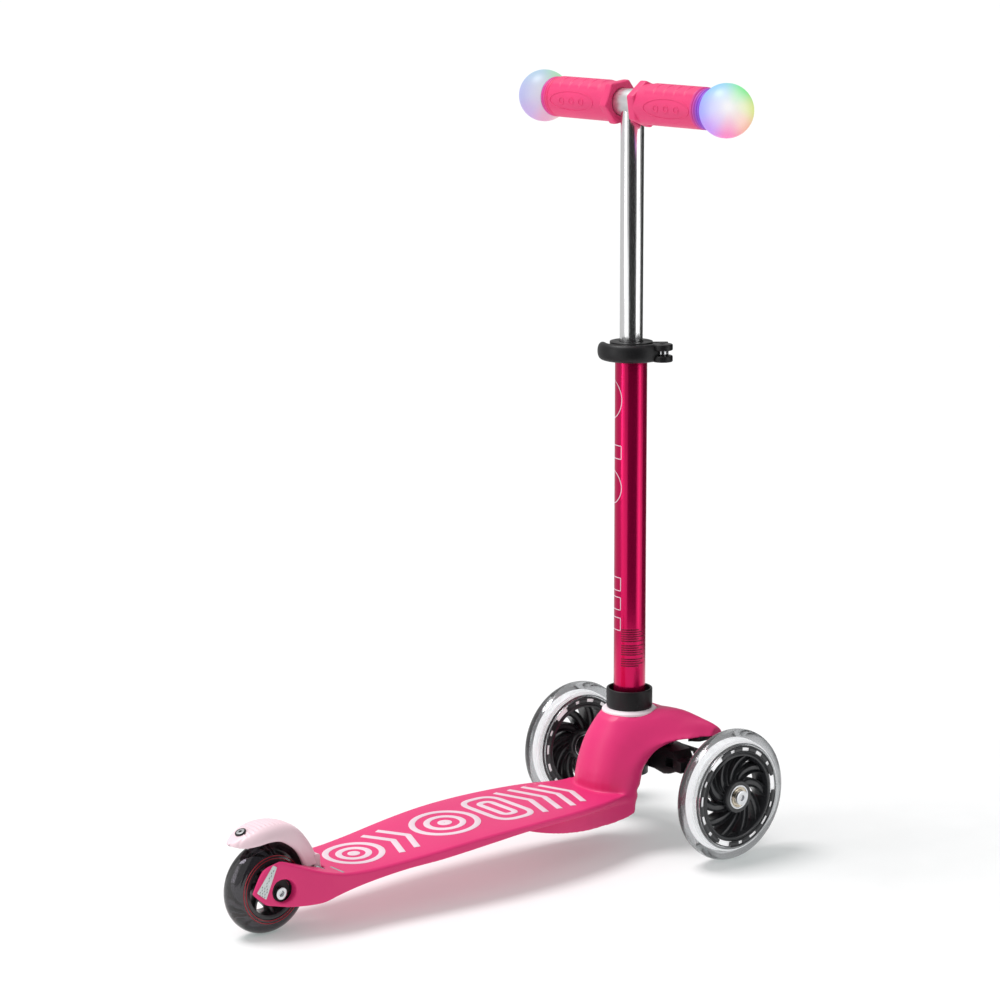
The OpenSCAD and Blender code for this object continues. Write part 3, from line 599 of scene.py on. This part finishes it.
def rivet_shade_rings():
    """Rolled rim and small dimple of the rivet's head, in black: painted shade in the crease round the head
    and in its hollow.
    """
    turn = Matrix.Translation(Vector(RIVET_AT)) @ Matrix.Rotation(radians(-23), 4, "Y")
    # Black rim and dimple disc: painted shade round and inside the rivet's head.
    rim = oval(0.0042, 0.0008, 0.0008, 0.0008, 12)
    dimple_shade = rounded(box(0.0, 0.0015, 0.0013, 0.0016), 0.0001, 2)
    rings = [lathe(rim, (0, 0, 0), 48, "z"), lathe(dimple_shade, (0, 0, 0), 24, "z")]
    turned = [([turn @ v for v in verts], faces) for verts, faces in rings]
    place(join("rivet_shade_rings", turned), "brake", "black_plastic", BLACK)


brake_fender()
fender_hinge()
rivet_shade_rings()


# ---- wheels
def turn_about_y(verts, angle, centre):
    """Points turned about the y axis, then moved to a centre."""
    c, s = cos(angle), sin(angle)
    return [Vector((centre[0] + (v[0] * c + v[2] * s), centre[1] + v[1], centre[2] + (-v[0] * s + v[2] * c)))
            for v in verts]


def spokes(centre, count, r0, r1, sweep, wide, tall, taper, side=1, phase=0.0):
    """Curved blades between a boss and a rim, each a rounded section along a bent line."""
    parts = []
    for i in range(count):
        rows = []
        for k in range(13):
            t = k / 12
            r = r0 + (r1 - r0) * t
            a = side * (sweep * t * t + 0.18 * sin(pi * t) + phase * (1 - 0.45 * t))
            half_w = wide * (1.15 - 0.3 * sin(pi * t)) / 2
            half_h = tall * (1 - taper * sin(pi * t * 0.9)) / 2
            row = []
            for j in range(16):
                b = TAU * j / 16
                u, v = eased(cos(b), 0.6) * half_w, eased(sin(b), 0.6) * half_h
                row.append((r * cos(a) - u * sin(a), v, r * sin(a) + u * cos(a)))
            rows.append(turn_about_y(row, TAU * i / count, centre))
        parts.append(grid(rows, caps=True))
    return parts


def bearing_pair(name, centre, body, node):
    """Two shielded bearings: outer race, recessed shield and inner race, as revolved outlines."""
    races, shields = [], []
    for s in (-1, 1):
        outer = rounded(box(0.0094, 0.0110, 0.0052, 0.0120), 0.0003, 3)
        inner = rounded(box(0.0040, 0.0058, 0.0052, 0.0120), 0.0003, 3)
        shield = rounded([(0.0057, 0.0056), (0.0095, 0.0056), (0.0095, 0.0114), (0.0086, 0.0114),
                          (0.0080, 0.0110), (0.0072, 0.0110), (0.0066, 0.0113), (0.0057, 0.0113)], 0.0002, 3)
        races += [lathe(outer, centre, 64, side=s), lathe(inner, centre, 64, side=s)]
        shields.append(lathe(shield, centre, 64, side=s))
    place(join("bearing_races_" + name, races), body, "steel", ZINC, node)
    place(join("bearing_shields_" + name, shields), body, "steel", RACE)


def window_plates(centre):
    """Three dark plates round the rim on each face, with open windows between narrow bridges."""
    plates, span, windows = [], radians(94), 4
    pitch = span / windows
    for s in (-1, 1):
        faces = (s * 0.0100, s * 0.0113)
        for third in range(3):
            start = TAU * third / 3 + 0.35
            for r0, r1 in ((0.0404, 0.0420), (0.0448, 0.0466)):
                plates.append(arc_strip(centre, r0, r1, start, start + span, *faces))
            for i in range(windows + 1):
                inward = {0: 1, windows: -1}.get(i, 0)
                half = pitch * (0.62 if inward else 0.5) / 2
                middle = start + pitch * i + pitch * 0.16 * inward
                plates.append(arc_strip(centre, 0.0415, 0.0453, middle - half, middle + half, *faces))
    return plates


def arc_strip(centre, r0, r1, a0, a1, y0, y1):
    """Curved plate between two radii and two angles, with eased edges on both faces."""
    rows, ease = [], 0.0003
    count = max(4, int((a1 - a0) / radians(3)))
    outline = [(r0, y0), (r0 + ease, y1 - copysign(ease, y1)), (r0 + 2 * ease, y1), (r1 - 2 * ease, y1),
               (r1 - ease, y1 - copysign(ease, y1)), (r1, y0)]
    for k in range(count + 1):
        a = a0 + (a1 - a0) * k / count
        rows.append([Vector((centre[0] + r * cos(a), centre[1] + y, centre[2] + r * sin(a)))
                     for r, y in outline])
    return grid(rows, caps=True)


def tyre_profile(middle, step, seat):
    """Tyre outline: a round tread about radius middle, closed by the points of its seat on the rim."""
    tread = [(middle + 0.0105 * cos(radians(a)), 0.0105 * sin(radians(a)))
             for a in reversed(range(-90, 91, step))]
    return seat[:2] + tread + seat[2:]


def front_tyre(name, centre, body):
    """Clear tyre with a hollow for its lit band."""
    profile = tyre_profile(0.0495, 7, [
        (0.0466, 0.0106), (0.0474, 0.0112), (0.0474, -0.0112), (0.0466, -0.0106), (0.0466, -0.0072),
        (0.0482, -0.0064), (0.0482, 0.0064), (0.0466, 0.0072)])
    place(join("clear_tyre_" + name, [lathe(profile, centre, 144)]), body, "clear_urethane", CLEAR,
          "front_tyre_" + name)


def front_hub(name, centre, body, side):
    """Rim and boss joined by broad curved blades, each flanked by two thin fins."""
    rim = rounded(both_sides([(0.0362, -0.004), (0.0372, -0.0100), (0.0384, -0.0108), (0.0398, -0.0100),
                              (0.0404, -0.0088), (0.0464, -0.0088), (0.0464, -0.0062),
                              (0.0404, -0.0058)]), 0.0005, 3)
    boss = rounded(both_sides([(0.0090, -0.0050), (0.0110, -0.0050), (0.0110, -0.0118), (0.0142, -0.0118),
                               (0.0150, -0.0100)]), 0.0005, 4)
    parts = [lathe(rim, centre, 144), lathe(boss, centre, 72)] + window_plates(centre)
    for wide, tall, taper, phase in ((0.0112, 0.0112, 0.18, 0.0), (0.0014, 0.0176, 0.20, 0.22),
                                     (0.0014, 0.0160, 0.20, -0.20)):
        parts += spokes(centre, 10, 0.0140, 0.0370, 0.72, wide, tall, taper, side, phase)
    place(join("swirl_hub_" + name, parts), body, "charcoal_plastic", CHARCOAL, "front_hub_" + name)


def front_lights(name, centre, body):
    """Lit band inside the tyre, and the two lit rings behind the rim's windows."""
    band = lathe(oval(0.0494, 0.0, -0.0010, 0.0030, 20), centre, 144)
    place(join("lamp_band_" + name, [band]), body, "led_light", LAMP)
    rings = [lathe(rounded(box(0.0412, 0.0456, s * 0.0090, s * 0.0096), 0.0002, 2), centre, 144)
             for s in (-1, 1)]
    place(join("light_windows_" + name, rings), body, "led_light", LIT, "led_ring_" + name)


def front_wheel(name, side):
    """Everything that turns on one front axle, apart from its bolt."""
    body = "front_wheel_" + name
    centre = (FRONT_X, side * HALF_TRACK, FRONT_R)
    front_tyre(name, centre, body)
    front_hub(name, centre, body, side)
    front_lights(name, centre, body)
    bearing_pair("front_" + name, centre, body, "front_bearings_" + name)


front_wheel("left", 1)
front_wheel("right", -1)


def rear_wheel():
    """Smoky tyre with two thin red rings on each side, on a hub with seven spokes."""
    centre = (REAR_X, 0, REAR_R)
    profile = tyre_profile(0.0295, 9, [(0.0262, 0.0106), (0.0275, 0.0112), (0.0275, -0.0112),
                                       (0.0262, -0.0106), (0.0262, 0.0)])
    place(join("smoky_tyre", [lathe(profile, centre, 128)]), "rear_wheel", "smoke_urethane", SMOKE,
          "rear_tyre")
    rim = rounded([(0.0222, -0.0100), (0.0260, -0.0108), (0.0262, 0.0), (0.0260, 0.0108), (0.0222, 0.0100),
                   (0.0214, 0.0)], 0.0007, 4)
    boss = rounded(both_sides([(0.0112, -0.0118), (0.0136, -0.0118), (0.0142, -0.0100)]), 0.0006, 4)
    parts = [lathe(rim, centre, 128), lathe(boss, centre, 72)]
    parts += spokes(centre, 7, 0.0132, 0.0222, 0.4, 0.0044, 0.0150, 0.25)
    place(join("rear_spoked_hub", parts), "rear_wheel", "charcoal_plastic", CHARCOAL, "rear_hub")
    bearing_pair("rear", centre, "rear_wheel", "rear_bearings")
    thin = [lathe(oval(r, s * 0.0110, 0.0004, 0.0004, 8), centre, 128)
            for s in (-1, 1) for r in (0.0268, 0.0292)]
    place(join("red_rings", thin), "rear_wheel", "charcoal_plastic", ACCENT)


rear_wheel()


# ---- grips and light balls
def grip_core(centre, side):
    """Grip barrel with finger ridges along its top and grooves near its outer end."""
    rows, start, end, steps = [], 0.0190, 0.1045, 170
    for i in range(steps + 1):
        y = start + (end - start) * i / steps
        ease = 1 - exp(-((end - y) / 0.0008)) * 0.03
        groove = sum(0.0009 * exp(-((y - g) / 0.00055) ** 2) for g in (0.0955, 0.0985, 0.1015))
        cell = ((y - 0.0300) % 0.0130) / 0.0130
        ridge = ramp(abs(cell - 0.5), 0.5, 0.38) * (0.0295 < y < 0.0945)
        row = []
        for k in range(96):
            a = TAU * k / 96
            crest = ramp(abs(degrees(a) - 95), 52, 40)
            r = (GRIP_R - groove + 0.0007 * float(ridge) * float(crest)) * ease
            row.append(Vector(centre) + Vector((r * cos(a), side * y, r * sin(a))))
        rows.append(row)
    inner = []
    for y in (end, start):
        inner.append([Vector(centre) + Vector((0.0124 * cos(TAU * k / 96), side * y,
                                               0.0124 * sin(TAU * k / 96))) for k in range(96)])
    return grid(rows + inner, wrap_rows=True)


def grip_flange(centre, side, turn):
    """Six-sided flange at a grip's inner end, open round the crossbar."""
    rows, bore = [], 0.0125
    for share, y in ((0.0, 0.0190), (0.0, 0.0134), (0.30, 0.0130), (0.84, 0.0130), (0.97, 0.0138),
                     (1.0, 0.0152), (1.0, 0.0198), (0.97, 0.0212), (0.86, 0.0220), (0.60, 0.0226),
                     (0.30, 0.0226)):
        row = []
        for k in range(120):
            a = TAU * k / 120
            local = (a - radians(turn)) % (TAU / 6) - TAU / 12
            corner = min(GRIP_R / cos(local), 0.0205)
            r = bore + (corner - bore) * share
            row.append(Vector(centre) + Vector((r * cos(a), side * y, r * sin(a))))
        rows.append(row)
    return grid(rows, wrap_rows=True)


def grip(name, side, turn, material):
    """Rubber grip with its flange, an oval outline and three small ovals facing the rider."""
    centre, facing, middle = (STEM_X, 0, BAR_Z), radians(184), 0.0625
    outline = oval(facing, middle, 0.50, 0.0290, 72)
    parts = [grip_core(centre, side), grip_flange(centre, side, turn),
             cylinder_band(outline, centre, GRIP_R, 0.0013, side)]
    mark = oval(facing, middle, 0.16, 0.0030, 40)
    for shift in (-0.013, 0.0, 0.013):
        parts.append(cylinder_band([(a, h + shift) for a, h in mark], centre, GRIP_R, 0.0011, side))
    place(join("rubber_grip_" + name, parts), "handlebar", "grip_rubber", material, "grip_" + name)


def cylinder_band(path, centre, radius, width, side, lift=0.0005, axis="y"):
    """Raised line on a cylinder along a closed path of (angle, distance along the axis)."""
    rows, n = [], len(path)
    for i in range(n):
        a, h = path[i]
        da, dh = path[(i + 1) % n][0] - path[i - 1][0], path[(i + 1) % n][1] - path[i - 1][1]
        d = Vector((da * radius, dh)).normalized()
        row = []
        for s, up in ((-0.5, -0.4), (-0.42, 0.7), (0.0, 1.0), (0.42, 0.7), (0.5, -0.4)):
            aa, hh = a - d.y * s * width / radius, h + d.x * s * width
            r = radius + up * lift
            p = (r * cos(aa), side * hh, r * sin(aa)) if axis == "y" else (
                r * cos(aa), r * sin(aa), hh)
            row.append(Vector(centre) + Vector(p))
        rows.append(row)
    return grid(rows, wrap_rows=True)


# The violet and blue given here are the ball's glow, painted onto each grip's outer end.
grip("left", 1, 8, glow_painted_end("grip_rubber_left", 0.098, 0.106, (0.62, 0.05, 0.42)))
grip("right", -1, 38, glow_painted_end("grip_rubber_right", -0.092, -0.102, (0.25, 0.06, 0.62)))


def along_axis(tree, source, axis):
    """Output with how far a vector runs along an axis."""
    dot = add(tree, "ShaderNodeVectorMath", operation="DOT_PRODUCT")
    dot.inputs[1].default_value = axis
    tree.links.new(source, dot.inputs[0])
    return dot.outputs["Value"]


RAINBOW = ((0.0, (0.36, 0.40, 1.0)), (0.13, (0.58, 0.30, 0.95)), (0.25, (0.95, 0.20, 0.52)),
           (0.38, (1.0, 0.55, 0.42)), (0.50, (0.80, 0.90, 0.30)), (0.64, (0.22, 0.92, 0.30)),
           (0.80, (0.25, 0.62, 0.90)), (1.0, (0.36, 0.40, 1.0)))


def rainbow_of(tree, source):
    """Colour round the rainbow for a source that runs from 0 to 1."""
    node = add(tree, "ShaderNodeValToRGB")
    node.color_ramp.interpolation = "EASE"
    elements = node.color_ramp.elements
    for element, (position, color) in ((elements[0], RAINBOW[0]), (elements[1], RAINBOW[-1])):
        element.position, element.color = position, color + (1,)
    for position, color in RAINBOW[1:-1]:
        elements.new(position).color = color + (1,)
    tree.links.new(source, node.inputs["Fac"])
    return node.outputs["Color"]


def ball_finish(name, side, strength, pale_glow_highlight, highlight_reach):
    """Frosted shell lit from inside, with a rainbow round its rim; pale in the middle as seen from the
    camera, partly its own glow and partly a painted highlight.
    """
    mat, tree, shader = nodes_of(name)
    link = tree.links.new
    coords = add(tree, "ShaderNodeTexCoord")
    shift = add(tree, "ShaderNodeMapping")
    shift.inputs["Location"].default_value = (-STEM_X, -side * BALL_Y, -BAR_Z)
    link(coords.outputs["Object"], shift.inputs["Vector"])
    turn = radians(CAMERA_YAW)
    across = along_axis(tree, shift.outputs["Vector"], (sin(turn), -cos(turn), 0.0))
    upward = along_axis(tree, shift.outputs["Vector"], (0.13, 0.16, 0.978))
    angle = add(tree, "ShaderNodeMath", operation="ARCTAN2")
    link(upward, angle.inputs[0])
    link(across, angle.inputs[1])
    rainbow = rainbow_of(tree, remapped(tree, angle.outputs[0], -pi, pi))
    flat = add(tree, "ShaderNodeCombineXYZ")
    link(across, flat.inputs["X"])
    link(upward, flat.inputs["Y"])
    reach = add(tree, "ShaderNodeVectorMath", operation="LENGTH")
    link(flat.outputs["Vector"], reach.inputs[0])
    # Painted highlight: pale where the shell faces the camera, fading into the rainbow further out.
    highlight_fade = remapped(tree, reach.outputs["Value"], 0.002, highlight_reach)
    lit = mixed(tree, highlight_fade, pale_glow_highlight + (1.0,), rainbow)
    link(mixed(tree, 1.0, lit, (0.24, 0.24, 0.24, 1.0), "MULTIPLY"), shader.inputs["Base Color"])
    link(lit, shader.inputs["Emission Color"])
    shader.inputs["Emission Strength"].default_value = strength
    shader.inputs["Roughness"].default_value = 0.45
    mottle = add(tree, "ShaderNodeTexNoise", Scale=900.0, Detail=3.0)
    link(coords.outputs["Object"], mottle.inputs["Vector"])
    roughened(tree, shader, mottle, 0.06)
    return mat


def light_ball(name, side, strength, pale_glow_highlight, highlight_reach):
    """Round shell cut off flat where it meets the grip, with a fine seam round its middle."""
    steps, within = 46, BALL_R - 0.0016
    start = degrees(asin((0.1047 - BALL_Y) / BALL_R))
    profile = []
    for k in range(steps + 1):
        a = radians(start + (89.4 - start) * k / steps)
        r = BALL_R - 0.00035 * exp(-(degrees(a) / 1.6) ** 2)
        profile.append((r * cos(a), r * sin(a)))
    for a in range(88, int(start) - 1, -4):
        profile.append((within * cos(radians(a)), within * sin(radians(a))))
    shell = lathe(profile, (STEM_X, side * BALL_Y, BAR_Z), 96, side=side)
    finish = ball_finish("glow_ball_" + name, side, strength, pale_glow_highlight, highlight_reach)
    place(join("glow_ball_" + name, [shell]), "handlebar", "light_ball", finish, "light_ball_" + name)


# The pale colour in each call is the painted highlight at the ball's middle, laid over its own glow.
light_ball("left", 1, 0.58, (0.84, 0.82, 0.90), 0.036)
light_ball("right", -1, 0.72, (1.0, 0.98, 1.0), 0.023)


# ---- outline graphics on the stem tube
def tube_graphics():
    """Outlined ovals and boxes down the tube's left side, and fine lines near its foot."""
    lift, outlines, fine = 0.00008, [], []
    face, half_a = radians(CAMERA_YAW + 90), 0.90
    half_width = half_a * STEM_R
    paths = [oval(face, z, half_a * 1.03, half_z, 90) for z, half_z in ((0.409, 0.0170), (0.3290, 0.0150))]
    for z, half_z in ((0.3615, 0.0060), (0.2405, 0.0060), (0.2225, 0.0058), (0.2035, 0.0058)):
        corners = rounded(box(-half_width, half_width, -half_z, half_z), 0.0008, 4)
        paths.append([(face + x / STEM_R, z + y) for x, y in dense(corners, 0.0008, True)])
    for path in paths:
        outlines.append(cylinder_band(path, STEM_AXIS, STEM_R, 0.0008, 1, lift, "z"))
    place(join("tube_outlines", outlines), "chassis", "pale_trim", PALE)
    start = radians(CAMERA_YAW + 180) - 0.60
    for i in range(17):
        if i in (6, 12):
            continue
        z, reach = 0.1985 - 0.0021 * i, (1.15, 1.45, 1.30, 1.50)[i % 4]
        path = [(start + reach * k / 12, z) for k in range(13)]
        path += [(start + reach * k / 12, z + 0.0006) for k in range(12, -1, -1)]
        fine.append(cylinder_band(path, STEM_AXIS, STEM_R, 0.0007, 1, lift, "z"))
    place(join("tube_fine_lines", fine), "chassis", "magenta_anodised", MARKING)


tube_graphics()


# ---- reflective stickers
def facet_frame(side):
    """Transform onto the rear face of one of the deck's arms; side is 1 for the left one."""
    turn = Matrix.Rotation(radians(112.7), 4, "Z") @ Matrix.Rotation(radians(84), 4, "Y")
    base = Matrix.Translation(Vector((FRONT_X - 0.437, 0.024, 0.069))) @ turn
    return Matrix.Diagonal((1, side, 1, 1)) @ base


def slab(transform, outline, low, high):
    """Flat piece with the given outline between two heights above a facet."""
    return grid([[transform @ Vector((u, v, h)) for u, v in outline] for h in (low, high)], caps=True)


def dash_outlines():
    """Small boxes in up to three staggered rows along a sticker."""
    start, row_gap = Vector((0.0040, 0.0021)), 0.0022
    axis = (Vector((0.0285, 0.0145)) - start).normalized()
    across = Vector((-axis.y, axis.x))
    for i in range(11):
        distance = 0.004 + i * 0.0023
        room = 0.0005 + 0.0034 * (distance / 0.0275)
        stagger = 0.0004 if i % 2 else -0.0004
        for j in (-1, 0, 1):
            if abs(j) * row_gap <= room - 0.0007:
                c = start + axis * distance + across * (j * row_gap + stagger)
                corners = [c + axis * a + across * b for a, b in box(-0.0007, 0.0007, -0.0003, 0.0003)]
                yield [(p.x, p.y) for p in corners]


def stickers():
    """Reflective film with dark dashes on the rear face of each arm."""
    film, dashes = [], []
    outline = rounded([(0.0030, 0.0036), (0.0050, 0.0006), (0.0315, 0.0107), (0.0254, 0.0182)], 0.0008, 4)
    for side in (-1, 1):
        facet = facet_frame(side)
        film.append(slab(facet, outline, 0.0001, 0.0007))
        dashes += [slab(facet, corners, 0.0006, 0.00078) for corners in dash_outlines()]
    place(join("reflector_film", film), "chassis", "reflective_film", FILM, "arm_reflectors")
    place(join("reflector_dashes", dashes), "chassis", "reflective_film", DASH)


stickers()


# ---- clamp lever
def clamp_lever():
    """Curved lever of oval section round the clamp, with two eyes at its pivot."""
    turn = Matrix.Translation(Vector((STEM_X, 0, CLAMP_Z))) @ Matrix.Rotation(radians(-39), 4, "Z")
    radius, half_t, half_h, steps, rows = 0.0255, 0.0049, 0.0080, 60, []
    for i in range(steps + 1):
        a = radians(-190 + 158 * i / steps)
        taper = max(0.12, sqrt(1 - max(0.0, 1 - i / 6) ** 2))
        row = []
        for k in range(36):
            b = TAU * k / 36
            u = eased(cos(b), 0.9) * half_t * taper
            v = eased(sin(b), 0.9) * half_h * taper
            row.append(turn @ Vector(((radius + u) * cos(a), (radius + u) * sin(a), v)))
        rows.append(row)
    parts = [grid(rows, caps=True)]
    for z0, z1 in ((0.00235, 0.0079), (-0.0079, -0.00235)):
        eye = rounded(box(0.00215, 0.0092, z0, z1), 0.0012, 4)
        verts, faces = lathe(eye, (0.027, -0.016, 0), 56, "z")
        parts.append(([turn @ v for v in verts], faces))
    place(join("cam_lever", parts), "clamp_lever", "black_plastic", BLACK, "clamp_lever")


clamp_lever()


# ---- CAD pieces that keep their shape
KEPT = (
    (BLACK, "front_chassis arch_liner clamp_collar knuckle_left knuckle_right tie_rod"),
    (ZINC, "chassis_screws kingpins rear_axle_bolt rear_axle_nut rear_axle_washers brake_hinge_pin"),
    (ZINC, "clamp_bolt clamp_nut fender_rivet axle_bolt_left axle_bolt_right"),
    (WIRE, "steering_springs brake_spring latch_spring brake_plate"),
    (POLISHED, "inner_post rear_spacer front_spacer_left front_spacer_right"),
    (MAGENTA, "stem_tube"), (BRUSHED, "crossbar"), (CHARCOAL, "stem_plug latch_button"),
    (NYLON, "stem_bush post_foot"), (BOARD, "light_board_left light_board_right"),
    (CELL, "ball_battery_left ball_battery_right"),
)
# Bevel widths in mm, and the kept pieces whose sharp edges they ease
BEVELS = {
    0.8: "front_chassis", 0.7: "knuckle_left knuckle_right", 0.6: "clamp_collar", 0.5: "tie_rod",
    0.4: "arch_liner rear_axle_bolt rear_axle_nut axle_bolt_left axle_bolt_right",
    0.3: "fender_rivet stem_tube inner_post kingpins chassis_screws latch_button",
    0.25: "clamp_bolt clamp_nut",
}


def kept_pieces():
    """Give the CAD pieces that stay their material, welded points and eased edges."""
    widths = {name: width for width, names in BEVELS.items() for name in names.split()}
    for material, names in KEPT:
        for name in names.split():
            node = NODES[name]
            node.data.materials.clear()
            node.data.materials.append(material)
            weld = node.modifiers.new("weld", "WELD")
            weld.merge_threshold = 1e-5
            if name in widths:
                edge = node.modifiers.new("edge", "BEVEL")
                edge.width, edge.segments, edge.limit_method = widths[name] * MM, 2, "ANGLE"
                edge.angle_limit = radians(40)
            shade(node, 32)


kept_pieces()


# ---- stage, light and camera
def stage():
    """Wide, nearly white floor with a slight glow."""
    size = 40.0
    floor = mesh_object("studio_floor", [(u, v, 0) for u, v in box(-size, size, -size, size)],
                        [(0, 1, 2, 3)], smooth=False)
    floor.data.materials.append(finish_of("pale_floor", (0.68, 0.66, 0.665), 0.7, grain=40, bump=0.0,
                                          tone=0.01, glow=1.0, glow_color=(0.215, 0.245, 0.24)))


def aimed_light(light, way):
    """Light object that shines along a direction."""
    obj = bpy.data.objects.new(light.name, light)
    obj.rotation_mode = "QUATERNION"
    obj.rotation_quaternion = way.to_track_quat("-Z", "Y")
    bpy.context.scene.collection.objects.link(obj)
    return obj


def flag(name, start, end, level):
    """Studio card seen only in reflections; start and end are degrees to the camera's right of the lens."""
    radius, low, high, steps, rows = 0.5, -0.2, 1.3, 24, []
    for k in range(steps + 1):
        a = radians(CAMERA_YAW + 180 + start + (end - start) * k / steps)
        rows.append([Vector((STEM_X + radius * cos(a), radius * sin(a), z)) for z in (low, high)])
    card = mesh_object(name, *grid(rows, wrap_cols=False), smooth=False)
    mat, _, shader = nodes_of(name)
    for socket, value in (("Base Color", (0, 0, 0, 1)), ("Specular IOR Level", 0.0),
                          ("Emission Color", (1, 1, 1, 1)), ("Emission Strength", level)):
        shader.inputs[socket].default_value = value
    mat.cycles.emission_sampling = "NONE"
    card.data.materials.append(mat)
    card.visible_camera = card.visible_diffuse = card.visible_shadow = card.visible_transmission = False


def lights():
    """White surroundings, a soft sun, a soft box and the cards that shiny parts mirror."""
    world = bpy.data.worlds.new("studio")
    world.use_nodes = True
    backdrop = world.node_tree.nodes["Background"]
    backdrop.inputs["Color"].default_value = (1, 1, 1, 1)
    backdrop.inputs["Strength"].default_value = 0.56
    bpy.context.scene.world = world
    sun = bpy.data.lights.new("key", "SUN")
    sun.energy, sun.angle = 2.3, radians(26)
    aimed_light(sun, Vector((0.30, -0.32, -1.0)))
    soft = bpy.data.lights.new("left_box", "AREA")
    soft.shape, soft.size, soft.size_y, soft.energy = "RECTANGLE", 0.35, 1.3, 5
    where, target = Vector((-1.5, 0.55, 0.75)), Vector((0.0, 0, 0.25))
    aimed_light(soft, target - where).location = where
    flag("bright_flag_left", -62, -46, 1.3)
    flag("dark_flag_middle", -24, 44, 0.03)
    flag("bright_flag_right", 54, 72, 1.9)
    flag("dark_flag_right", 90, 150, 0.04)
    flag("grey_flag_left", -176, -70, 0.6)


def camera():
    """The view the object is shown from, with a slight roll."""
    data = bpy.data.cameras.new("view")
    data.sensor_width, data.lens = 36.0, CAMERA_LENS
    data.clip_start, data.clip_end = 0.05, 200.0
    cam = bpy.data.objects.new("view", data)
    yaw, pitch, roll = (radians(a) for a in (CAMERA_YAW, CAMERA_PITCH, CAMERA_ROLL))
    ahead = Vector((cos(yaw) * cos(pitch), sin(yaw) * cos(pitch), -sin(pitch)))
    right = Vector((sin(yaw), -cos(yaw), 0))
    up = right.cross(ahead)
    level, high = right * cos(roll) + up * sin(roll), up * cos(roll) - right * sin(roll)
    turn = Matrix((level, high, -ahead)).transposed().to_4x4()
    cam.matrix_world = Matrix.Translation(CAMERA_AT) @ turn
    bpy.context.scene.collection.objects.link(cam)
    bpy.context.scene.camera = cam


stage()
lights()
camera()
bpy.context.scene.view_settings.view_transform = "Standard"
